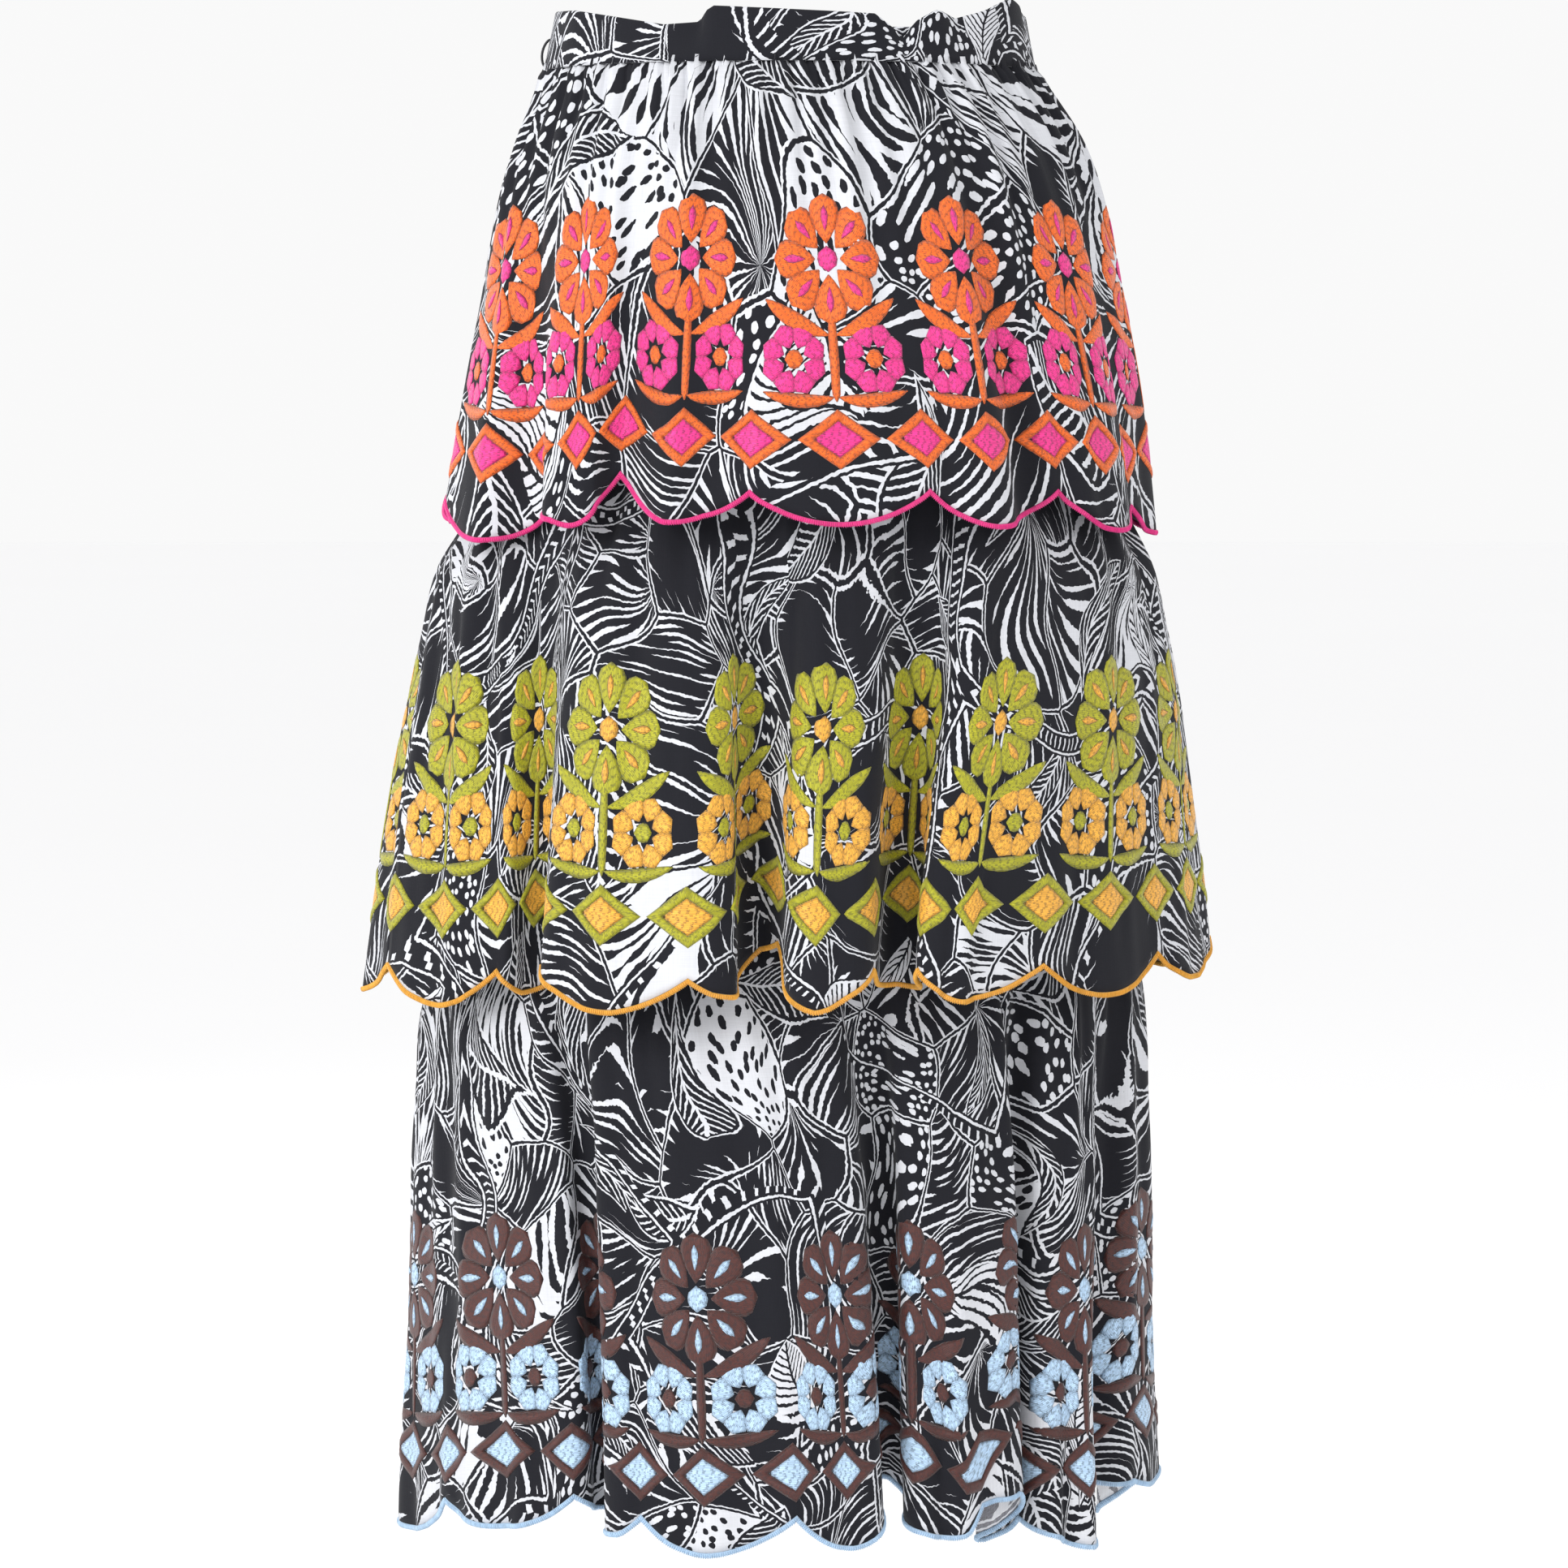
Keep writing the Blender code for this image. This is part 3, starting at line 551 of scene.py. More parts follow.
class Sums:
    """Adds nodes to a tree."""

    def __init__(self, tree):
        self.tree = tree

    def feed(self, socket, value):
        value = getattr(value, "socket", value)
        if isinstance(value, bpy.types.NodeSocket):
            self.tree.links.new(value, socket)
        else:
            socket.default_value = value

    def node(self, kind, inputs=(), **settings):
        """A new node. Its inputs are fed in order from a tuple, or by name or number from a dict."""
        node = self.tree.nodes.new(kind)
        for name, value in settings.items():
            setattr(node, name, value)
        for key, value in inputs.items() if isinstance(inputs, dict) else enumerate(inputs):
            self.feed(node.inputs[key], value)
        return node

    def result(self, kind, inputs=(), output=0, **settings):
        return Value(self, self.node(kind, inputs, **settings).outputs[output])

    def do(self, operation, *values):
        return self.result("ShaderNodeMath", values, operation=operation)

    def vector(self, operation, *values):
        return self.result("ShaderNodeVectorMath", values, operation=operation)

    def stretch(self, vector, x, y):
        return self.vector("MULTIPLY", vector, (x, y, 1.0))

    def point(self, x, y, z=0.0):
        return self.result("ShaderNodeCombineXYZ", (x, y, z))

    def parts(self, value, kind="XYZ"):
        """The three numbers in a vector, or in a colour where kind is Color."""
        return [Value(self, socket) for socket in self.node("ShaderNodeSeparate" + kind, (value,)).outputs]

    def noise(self, vector, detail=1.0, output=0):
        inputs = {"Vector": vector, "Scale": 1.0, "Detail": detail}
        return self.result("ShaderNodeTexNoise", inputs, output, noise_dimensions="2D")

    def stir(self, place, by, scale, reach, detail=1.0):
        """A place pushed about, as far as half of reach, by a noise that reads another place."""
        noise = self.noise(self.stretch(by, scale, scale), detail, "Color")
        offset = self.vector("MULTIPLY", self.vector("SUBTRACT", noise, (0.5, 0.5, 0.5)), (reach, reach, 0.0))
        return self.vector("ADD", place, offset)

    def cells(self, vector, size, feature="F1", randomness=1.0):
        """A Voronoi pattern: a dict of what its node gives."""
        inputs = {"Vector": vector, "Scale": 1.0 / size, "Randomness": randomness}
        node = self.node("ShaderNodeTexVoronoi", inputs, voronoi_dimensions="2D", feature=feature)
        return {socket.name: Value(self, socket) for socket in node.outputs}

    def to_edge(self, vector, size):
        """How far it is to the nearest edge of a cell."""
        return self.cells(vector, size, "DISTANCE_TO_EDGE")["Distance"] * size

    def off_middle(self, value):
        """0 in the middle of each whole step of a number, and 1 at its ends."""
        return abs(self.do("FRACT", value) - 0.5) * 2.0

    def rescale(self, value, low, high, new_low, new_high):
        return self.result("ShaderNodeMapRange", (value, low, high, new_low, new_high))

    def blend(self, share, first, second):
        """Numbers blended, or picked where share is 0 or 1."""
        return self.result("ShaderNodeMix", {0: share, 2: first, 3: second}, data_type="FLOAT")

    def tint(self, share, first, second, mode="MIX"):
        """Colours blended."""
        first, second = ((*c, 1.0) if isinstance(c, tuple) else c for c in (first, second))
        inputs = {0: share, 6: first, 7: second}
        return self.result("ShaderNodeMix", inputs, 2, data_type="RGBA", blend_type=mode)

    def shaded(self, colour, shade):
        """A colour made darker or paler by a number."""
        grey = self.result("ShaderNodeCombineColor", (shade, shade, shade))
        return self.tint(1.0, colour, grey, "MULTIPLY")


print("threads:", ", ".join(thread.name for thread in FILL_THREADS))

# %% [markdown]
# ## A block print
# A hand-cut block leaves marks that a brush doesn't: each gouge stroke starts thin, swells and ends in a
# point, and big shapes have ragged edges. The print here is a plain leafy one. Cells of a Voronoi pattern
# cut the cloth into patches. Each patch has its own direction and holds strokes side by side, strokes
# that spread like a fan, or dots, and some are left solid with a few gouges round their rim.

# %% The ground of the print
PATCH_SIZE, STROKE_PITCH, FAN_STROKES, FAN_CENTRE = 46.0, 4.4, 34.0, 30.0
DARK_UP_TO, PALE_FROM = -72.0, -26.0  # heights on the flat cloth that the share of pale patches turns on
FANNED, DOTTED = 0.50, 0.80  # patches whose random numbers are above these
STROKES_APART, PATCHES_APART, SWELLS_A_MM = 3.7, 53.0, 0.034  # in the noise that each stroke reads
SWELL_ABOVE, SWELL_ON_DARK, SWELL_ON_PALE = 0.42, 2.6, 4.6
WIDEST_ON_DARK, WIDEST_ON_PALE = 0.44, 0.74  # share of the pitch
DOT_PITCH, DOT_RADIUS, DOT_UNEVENNESS = 6.4, 0.29, 0.7
GOUGES_REACH, OUTLINE_FROM, OUTLINE_TO = 9.0, 0.8, 1.7  # from the rim of a patch
BOW = 0.008


def draw(sums, first, second, by, and_by):
    """One more random number, mixed from two others."""
    return sums.do("FRACT", first * by + second * and_by)


def patch_place(sums, place, cell, spin):
    """Where a point is in its patch, with the patch's own turn and a slight bow."""
    offset = sums.vector("SUBTRACT", place, cell["Position"])
    inputs = {"Vector": offset, "Angle": spin * (2 * math.pi)}
    turned = sums.result("ShaderNodeVectorRotate", inputs, rotation_type="Z_AXIS")
    x, y, _ = sums.parts(turned)
    return x, y, y * y * BOW + x


def add_ground(sums, place, given):
    """Patches of strokes and dots. Gives 1 where the cloth stays white."""
    cell = sums.cells(place, PATCH_SIZE)
    height = sums.parts(cell["Position"])[1] * given["Size"]
    share_of_pale = sums.rescale(height, DARK_UP_TO, PALE_FROM, given["White"], given["White at the top"])
    spin, kind, dots = sums.parts(cell["Color"], "Color")
    x, y, bowed = patch_place(sums, place, cell, spin)
    behind = y + FAN_CENTRE
    fan = sums.do("ARCTAN2", x, behind) * (FAN_STROKES / (2 * math.pi))
    fanned = kind > FANNED
    across = sums.blend(fanned, bowed / STROKE_PITCH, fan)
    along = sums.blend(fanned, y, sums.do("SQRT", x * x + behind * behind))
    pale = draw(sums, spin, dots, 7.3, 3.1) < share_of_pale
    own_line = sums.do("FLOOR", across) * STROKES_APART + spin * PATCHES_APART
    swell = sums.noise(sums.point(own_line, along * SWELLS_A_MM)) - SWELL_ABOVE
    swell = swell * sums.blend(pale, SWELL_ON_DARK, SWELL_ON_PALE)
    rim = sums.to_edge(place, PATCH_SIZE)
    bare = (draw(sums, kind, spin, 5.1, 2.7) < given["Solid"]) * (1.0 - pale)
    at_rim = sums.do("MAXIMUM", 1.0 - rim / GOUGES_REACH, 0.0)
    swell = swell * sums.blend(bare, 1.0, at_rim)
    widest = sums.blend(pale, WIDEST_ON_DARK, WIDEST_ON_PALE)
    stroke = sums.off_middle(across) < sums.do("MINIMUM", swell, widest)
    dot = sums.cells(place, DOT_PITCH, randomness=DOT_UNEVENNESS)["Distance"] < DOT_RADIUS
    dotted = (dots > DOTTED) * (1.0 - bare)
    ground = abs(sums.blend(dotted, stroke, dot) - pale)
    outlined = sums.blend(rim < OUTLINE_TO, ground, 1.0)
    return sums.blend(rim < OUTLINE_FROM, outlined, 0.0)


# %% [markdown]
# ## Leaves and ribbons
# Larger cells put a veined leaf over many of the patches. Where the largest cells meet, a dark ribbon
# with white edges runs between them, and short dashes cross it like the ties of a garland.

# %% Leaves, ribbons and the whole print
LEAF_SIZE, LEAF_HALF_LENGTH, LEAF_HALF_WIDTH = 72.0, (26.0, 14.0), (8.0, 6.0)  # least, and what luck adds
VEIN_PITCH, VEIN_SHARE, VEIN_LEAN, MIDDLE_VEIN = 5.2, 0.32, 1.3, 0.7
LEAF_EDGE, LEAF_HALO, SLIMMER_AT_TIP = 1.3, 1.1, -0.35
LEAVES_MOVED = (137.0, 71.0, 0.0)  # so that their cells aren't the ground's
LEAVES_GROWN, LEAVES_DARK = 0.60, 0.66  # shares of the cells and of the leaves
RIBBON_CELL, RIBBON_HALF, RIBBONS = 170.0, 7.6, 0.55
TIES, TIE_SHARE, TIE_HALF = 76, 0.27, 3.6  # dashes round a cell
RIBBON_EDGE = (5.2, 6.5)
SLOW_SHIFT, RAGGED_EDGE = (1 / 75, 60.0, 0.6), (0.4, 1.1)  # scale, reach and detail of two noises


def add_leaves(sums, place, under):
    """Veined leaves with an outline, laid over the ground."""
    moved = sums.vector("ADD", place, LEAVES_MOVED)
    cell = sums.cells(moved, LEAF_SIZE)
    spin, length, width = sums.parts(cell["Color"], "Color")
    _, y, bowed = patch_place(sums, moved, cell, spin)
    share = y / (length * LEAF_HALF_LENGTH[1] + LEAF_HALF_LENGTH[0])
    taper = (1.0 - share * share) * (width * LEAF_HALF_WIDTH[1] + LEAF_HALF_WIDTH[0])
    side = abs(bowed)
    inside = taper * (share * SLIMMER_AT_TIP + 1.0) - side
    lean = side * VEIN_LEAN + y
    vein = sums.do("FRACT", lean / VEIN_PITCH) < VEIN_SHARE
    vein = sums.do("MAXIMUM", vein, side < MIDDLE_VEIN) * (inside > LEAF_EDGE)
    dark = draw(sums, spin, width, 5.7, 1.9) < LEAVES_DARK
    leaf = sums.blend(inside > 0.0, dark, abs((1.0 - vein) - dark))
    grown = draw(sums, spin, length, 3.3, 1.0) < LEAVES_GROWN
    return sums.blend((inside > -LEAF_HALO) * grown, under, leaf)


def add_ribbons(sums, place, under):
    """Dark ribbons with white edges and dashes, where the largest cells meet."""
    cell = sums.cells(place, RIBBON_CELL)
    x, y, _ = sums.parts(sums.vector("SUBTRACT", place, cell["Position"]))
    turns = sums.do("ARCTAN2", x, y) * (TIES / (2 * math.pi))
    inward = sums.to_edge(place, RIBBON_CELL)
    dash = (sums.do("FRACT", turns) < TIE_SHARE) * (inward < TIE_HALF)
    edge = (inward > RIBBON_EDGE[0]) * (inward < RIBBON_EDGE[1])
    ribbon = (inward < RIBBON_HALF) * (sums.parts(cell["Color"], "Color")[0] < RIBBONS)
    return sums.blend(ribbon, under, sums.do("MAXIMUM", dash, edge))


def block_print():
    """The node group. In: the flat place in mm, shares of pale and of solid patches. Out: 1 is white."""
    tree = bpy.data.node_groups.new("block_print", "ShaderNodeTree")
    tree.interface.new_socket("Flat place", in_out="INPUT", socket_type="NodeSocketVector")
    for name in ("White", "White at the top", "Solid", "Size"):
        tree.interface.new_socket(name, in_out="INPUT", socket_type="NodeSocketFloat")
    tree.interface.new_socket("Print", in_out="OUTPUT", socket_type="NodeSocketFloat")
    sums = Sums(tree)
    given = sums.node("NodeGroupInput").outputs
    inputs = {0: given["Flat place"], "Scale": 1.0 / Value(sums, given["Size"])}
    flat = sums.result("ShaderNodeVectorMath", inputs, operation="SCALE")
    place = sums.stir(sums.stir(flat, flat, *SLOW_SHIFT), flat, *RAGGED_EDGE)
    made = add_ground(sums, place, given)
    made = add_ribbons(sums, place, add_leaves(sums, place, made))
    sums.feed(sums.node("NodeGroupOutput").inputs[0], made)
    return tree


BLOCK_PRINT = block_print()
print("block print:", len(BLOCK_PRINT.nodes), "nodes")

# %% [markdown]
# ## Printed cotton, right side and wrong side
# The cloth is a plain weave of slightly uneven yarns. Fine ridges cross each other at yarn spacing, and
# long streaks make some yarns thicker and some paler. Ink doesn't reach through to the wrong side, so
# there the same print shows grey and mottled on white, which is what the turned-up hem shows.

# %% Cotton materials
YARN_PITCH = 0.55  # millimetres
SLUB_LONG, SLUB_SHORT = 0.05, 1.6  # scales of the noise along a yarn and across it
RIDGE_RISE, SLUB_RISE = 0.5, 1.6
SLUB_RANGE, SLUB_SHADES = (0.6, 1.4), (0.93, 1.05)
MOTTLE_SCALE, MOTTLE_DETAIL = 0.9, 3.0
WRONG_SIDE_INK = (0.10, 0.10, 0.115), (0.36, 0.36, 0.39)
WRONG_SIDE_WHITE = (0.74, 0.75, 0.78)
Print = namedtuple("Print", "white white_at_top solid size")
Finish = namedtuple("Finish", "roughness specular sheen bump depth")
COTTON_FINISH = Finish(roughness=0.88, specular=0.18, sheen=0.06, bump=0.35, depth=0.00012)


def start_material(name):
    material = bpy.data.materials.new(name)
    material.use_nodes = True
    return material, Sums(material.node_tree), material.node_tree.nodes["Principled BSDF"]


def finish_material(sums, shader, colour, finish, height=None):
    """Feeds the colour and the bump, and sets the gloss."""
    sums.feed(shader.inputs["Base Color"], colour)
    if height is not None:
        inputs = {"Height": height, "Strength": finish.bump, "Distance": finish.depth}
        sums.feed(shader.inputs["Normal"], sums.result("ShaderNodeBump", inputs))
    shader.inputs["Roughness"].default_value = finish.roughness
    shader.inputs["Specular IOR Level"].default_value = finish.specular
    shader.inputs["Sheen Weight"].default_value = finish.sheen


def flat_place(sums):
    """The place on the flat cloth in millimetres, from the piece's own map."""
    return sums.stretch(sums.result("ShaderNodeUVMap", uv_map="flat"), 1 / MM, 1 / MM)


def weave_height(sums, flat):
    """Warp and weft ridges with uneven yarns, as a bump height, and the unevenness alone."""
    slubs = (
        sums.noise(sums.stretch(flat, SLUB_LONG, SLUB_SHORT), 2.0)
        + sums.noise(sums.stretch(flat, SLUB_SHORT, SLUB_LONG), 2.0)
    )
    warp, weft = (sums.do("SINE", way * (2 * math.pi / YARN_PITCH)) for way in sums.parts(flat)[:2])
    return warp * weft * RIDGE_RISE + slubs * SLUB_RISE, slubs


def cotton_material(name, design=None, wrong_side=False):
    """Plain-weave cotton. Without a design the cloth isn't printed."""
    material, sums, shader = start_material(name)
    flat = flat_place(sums)
    height, slubs = weave_height(sums, flat)
    colour = WHITE_CLOTH
    if design is not None:
        printed = sums.result("ShaderNodeGroup", (flat, *design), node_tree=BLOCK_PRINT)
        ink, ground = BLACK_INK, WHITE_CLOTH
        if wrong_side:
            mottle = sums.noise(sums.stretch(flat, MOTTLE_SCALE, MOTTLE_SCALE), MOTTLE_DETAIL)
            ink, ground = sums.tint(mottle, *WRONG_SIDE_INK), WRONG_SIDE_WHITE
        colour = sums.tint(printed, ink, ground)
    colour = sums.shaded(colour, sums.rescale(slubs, *SLUB_RANGE, *SLUB_SHADES))
    finish_material(sums, shader, colour, COTTON_FINISH, height)
    return material


BOTTOM_PRINT = Print(0.12, 0.12, 0.26, 1.1)
PRINTS = {
    "top": cotton_material("printed_cotton_top", Print(0.04, 0.70, 0.22, 1.5)),
    "middle": cotton_material("printed_cotton_middle", Print(0.06, 0.06, 0.38, 1.15)),
    "bottom": cotton_material("printed_cotton_bottom", BOTTOM_PRINT),
}
WRONG_SIDE = cotton_material("printed_cotton_wrong_side", BOTTOM_PRINT, wrong_side=True)
BAND_PRINT = cotton_material("printed_cotton_band", Print(0.03, 0.03, 0.35, 1.1))
PLAIN_COTTON = cotton_material("plain_cotton")
print("cotton materials:", len(PRINTS) + 3)

# %% [markdown]
# ## Sewn panels
# A tier is cut in two panels, front and back, that meet at the side seams. Each panel is a fine grid of
# the flat cloth, with closer rows near the gathers. Its two faces are half a cloth's thickness either
# side of the middle and are joined round their edges, so it is a closed thin wall. The flat place of each
# point is kept as the UV map, in metres, which makes the print run with the cloth and not with the air.

# %% Building thin walls
WALL = 0.56  # the cloth's thickness, in millimetres
COLUMNS_A_REPEAT = 32
FINE_ROW, COARSE_ROW, FINE_DOWN_TO, COARSE_AFTER = 3.0, 7.5, 36.0, 40.0
SEAM_ALLOWANCE = 4.0


def wall_faces(rows, columns):
    """The faces of a thin wall: its outer grid, its inner one the other way round, and the rim."""
    index = np.arange(rows * columns).reshape(rows, columns)
    outer = np.stack([index[:-1, :-1], index[1:, :-1], index[1:, 1:], index[:-1, 1:]], axis=-1).reshape(-1, 4)
    inner = outer[:, ::-1] + rows * columns
    loop = np.concatenate([index[:-1, 0], index[-1, :-1], index[:0:-1, -1], index[0, :0:-1]])
    onward = np.roll(loop, -1)
    rim = np.stack([onward, loop, loop + rows * columns, onward + rows * columns], axis=-1)
    return outer, inner, rim


def add_mesh(name, points, faces, material, *more_materials, flat=None, slots=None, smooth=True):
    """A mesh object from points in millimetres. flat holds the flat place of each point, in millimetres."""
    mesh = bpy.data.meshes.new(name)
    faces = faces.tolist() if isinstance(faces, np.ndarray) else faces
    mesh.from_pydata((np.asarray(points).reshape(-1, 3) * MM).tolist(), [], faces)
    for one in (material, *more_materials):
        mesh.materials.append(one)
    if flat is not None:
        corners = np.empty(len(mesh.loops), np.int32)
        mesh.loops.foreach_get("vertex_index", corners)
        flat = (np.asarray(flat).reshape(-1, 2)[corners] * MM).astype(np.float32)
        mesh.uv_layers.new(name="flat").uv.foreach_set("vector", flat.ravel())
    if slots is not None:
        mesh.polygons.foreach_set("material_index", np.asarray(slots, np.int32))
    if smooth:
        mesh.shade_smooth()
    return put(name, mesh)


def finish_piece(obj, slot, *nodes):
    """Every piece rides on the one body, takes a finish of the record and may stand for CAD nodes."""
    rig.ride(obj, "root")
    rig.slot(obj, slot)
    if nodes:
        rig.replaces(obj, *nodes)
    return obj


def graded(length):
    """Distances from the seam: close together near it, and further apart below."""
    places = [0.0]
    while places[-1] < length - COARSE_ROW:
        wider = min(1.0, max(0.0, (places[-1] - FINE_DOWN_TO) / COARSE_AFTER))
        places.append(places[-1] + FINE_ROW + (COARSE_ROW - FINE_ROW) * wider)
    return np.array([*places, length])


def make_panel(name, cloth, first, last, materials, print_from):
    """One panel. Above its seam a narrow allowance goes on up, hidden under what it is sewn to."""
    columns = round((last - first) * COLUMNS_A_REPEAT) + 1
    repeats = np.linspace(first, last, columns)
    shares = graded(cloth.strip.length)[:, None] / cloth.strip.length
    down = np.concatenate([np.full((1, columns), -SEAM_ALLOWANCE), shares * cloth.edge_flat(repeats)])
    places = np.broadcast_to(repeats, down.shape)
    middle, facing = cloth.middle(places, down), cloth.facing(places, down)
    outer, inner, rim = wall_faces(len(down), columns)
    flat = np.stack([places * REPEAT + print_from[0], print_from[1] - down], axis=-1)
    return add_mesh(
        name, np.stack([middle + facing * WALL / 2, middle - facing * WALL / 2]),
        np.concatenate([outer, inner, rim]), *materials, flat=np.concatenate([flat, flat]),
        slots=np.repeat([0, 1, 0], [len(outer), len(inner), len(rim)]),
    )


# Where each strip lay on the printed cloth, which decides the part of the pattern that it shows.
PRINT_FROM = {"top": (405.0, 40.0), "middle": (610.0, -300.0), "bottom": (1290.0, -700.0)}
panels = {}
for name, cloth in TIERS.items():
    strip, half_way = cloth.strip, cloth.strip.repeats / 2
    for half, first in (("front", strip.first_repeat), ("back", strip.first_repeat + half_way)):
        node = f"{strip.name}_{half}"
        panel = make_panel(
            f"{node}_cloth", cloth, first, first + half_way, (PRINTS[name], WRONG_SIDE), PRINT_FROM[name]
        )
        panels[node] = finish_piece(panel, "printed_cotton", node)
        print(f"{node}: {len(panel.data.polygons)} faces")

# %% [markdown]
# ## The waistband
# A waistband is cut double, folded along its top and sewn down, so its top edge is round and soft and it
# has no raw edge to see. A closed loop of points round its section, swept along the seam, makes the fold.
# Here the band stands a little unevenly where it isn't held, as on the real skirt.

# %% The waistband
BAND_HALF_WALL = 1.2
BAND_PRINT_FROM = (2300.0, 905.0)
BAND_FOLD_STEPS, BAND_WALL_STEPS = 6, 8


def make_band(name, first, last):
    columns = round((last - first) * COLUMNS_A_REPEAT) + 1
    repeats = np.linspace(first, last, columns)
    rounding = np.radians(np.linspace(0, 180, BAND_FOLD_STEPS + 1))
    shares = np.linspace(0.0, 1.0, BAND_WALL_STEPS + 1)[:-1]
    section = (
        [(share, 1.0, 0.0) for share in shares]
        + [(1.0, math.cos(a), math.sin(a)) for a in rounding]
        + [(share, -1.0, 0.0) for share in shares[::-1]]
    )
    flat_edge = BAND.edge_flat(repeats)
    rows = []
    for share, side, crest in section:
        up = share * (flat_edge - BAND_HALF_WALL) + crest * BAND_HALF_WALL
        middle, facing = BAND.middle(repeats, up), BAND.facing(repeats, np.minimum(up, flat_edge - 1.0))
        rows.append(middle + facing * side * BAND_HALF_WALL)
    points = np.array(rows)
    index = np.arange(len(section) * columns).reshape(-1, columns)
    around = np.roll(index, -1, axis=0)
    quads = np.stack([index[:, :-1], index[:, 1:], around[:, 1:], around[:, :-1]], axis=-1).reshape(-1, 4)
    ends = [index[:, -1].tolist(), index[::-1, 0].tolist()]
    lengths = np.concatenate([[0.0], np.cumsum(np.linalg.norm(np.diff(points[:, 0], axis=0), axis=1))])
    along, up = repeats * REPEAT + BAND_PRINT_FROM[0], BAND_PRINT_FROM[1] + lengths[:, None]
    flat = np.stack(np.broadcast_arrays(along, up), axis=-1)
    return add_mesh(name, points, quads.tolist() + ends, BAND_PRINT, flat=flat)


for half, first in (("front", -2.0), ("back", 2.0)):
    node = f"waistband_{half}"
    panels[node] = finish_piece(make_band(f"{node}_cloth", first, first + 4.0), "printed_cotton", node)
    print(node, "faces:", len(panels[node].data.polygons))

# %% [markdown]
# ## The plain base
# The two lower tiers can't hang from air: a plain cotton tube, cut in two panels, runs down inside the
# skirt and carries their seams. It only shows from below and from inside, and it has no print.

# %% The base
Ring = namedtuple("Ring", "drop half_width half_depth centre_x")
Base = namedtuple("Base", "name top bottom rings")
BASES = (
    Base("upper_base", 0.3, 194.5, table(
        Ring, (0, 128.0, 98.5, 0.5), (100, 143.0, 112.0, 4.0), (200, 158.0, 121.0, 3.5)
    )),
    Base("lower_base", 195.5, 440.0, table(
        Ring, (190, 154.5, 117.6, 3.5), (320, 162.0, 122.0, 1.0), (445, 172.0, 136.0, -1.0)
    )),
)
BASE_ROWS, BASE_COLUMNS, BASE_CREASE = 26, 91, 0.35
CREASES_ROUND, SWELLS_ROUND, CREASES_LEAN = 14, 5, 70  # two in a full turn, and one in millimetres
MM_A_DEGREE = 2.4  # of flat cloth


def make_base(name, base, first_bearing):
    bearings = np.linspace(first_bearing, first_bearing + 180, BASE_COLUMNS)
    drops = np.linspace(base.top, base.bottom, BASE_ROWS)[:, None]
    size = {field: smooth_value(base.rings, field, drops) for field in Ring._fields[1:]}
    creases = np.sin(np.radians(bearings * CREASES_ROUND) + drops / CREASES_LEAN)
    creases = creases * np.sin(np.radians(bearings * SWELLS_ROUND) + 1.0)
    sheets = []
    for side in (WALL / 2, -WALL / 2):
        x, y = ring_place(bearings, **size, out=BASE_CREASE * creases + side)
        sheets.append(np.stack([x, y, np.broadcast_to(-drops, x.shape)], axis=-1))
    faces = np.concatenate(wall_faces(BASE_ROWS, BASE_COLUMNS))
    flat = np.stack(np.broadcast_arrays(bearings * MM_A_DEGREE, -drops), axis=-1)
    return add_mesh(name, np.stack(sheets), faces, PLAIN_COTTON, flat=np.concatenate([flat, flat]))


for base in BASES:
    for half, first in (("front", -90.0), ("back", 90.0)):
        node = f"{base.name}_{half}"
        panels[node] = finish_piece(make_base(f"{node}_cloth", base, first), "plain_cotton", node)
print("base panels:", 2 * len(BASES))

# %% [markdown]
# ## Thread
# Embroidery thread is smooth and a little shiny. In a filled shape the stitches lie side by side along
# the shape, more than four millimetres long, and short dark dashes of cloth show where two of them meet. Each row of
# thread is painted darker towards its sides: painted shade in the grooves between rows.
# They are drawn on the shape's own map, whose first number runs along the shape and whose second runs
# across it. On a diamond's frame the first runs across, so there the thread goes right over, as in satin
# stitch.

# %% Thread materials
STITCH_LENGTH, STITCH_WIDTH = 4.6, 0.9
GAP_FROM, GAP_BESIDE, STITCHES_WITHOUT_GAP, GAP_DEPTH = 0.66, 0.25, 0.3, 0.62
ROWS_SWAY = (0.12, 2.0)  # scale and reach
# random paleness of each stitch, and painted shade that darkens each row of thread towards its sides
DARKEST_STITCH, PALER_BY_LUCK, SHADE_PAINTED_AT_SIDES = 0.90, 0.34, 0.24
SIDE_SHADE_SHARPNESS, SHARP_END = 3.0, 6.0  # how suddenly the painted shade at a thread's side sets in, and how suddenly the thread dips at its end
THREAD_FINISH = Finish(roughness=0.5, specular=0.4, sheen=0.15, bump=0.55, depth=0.0002)


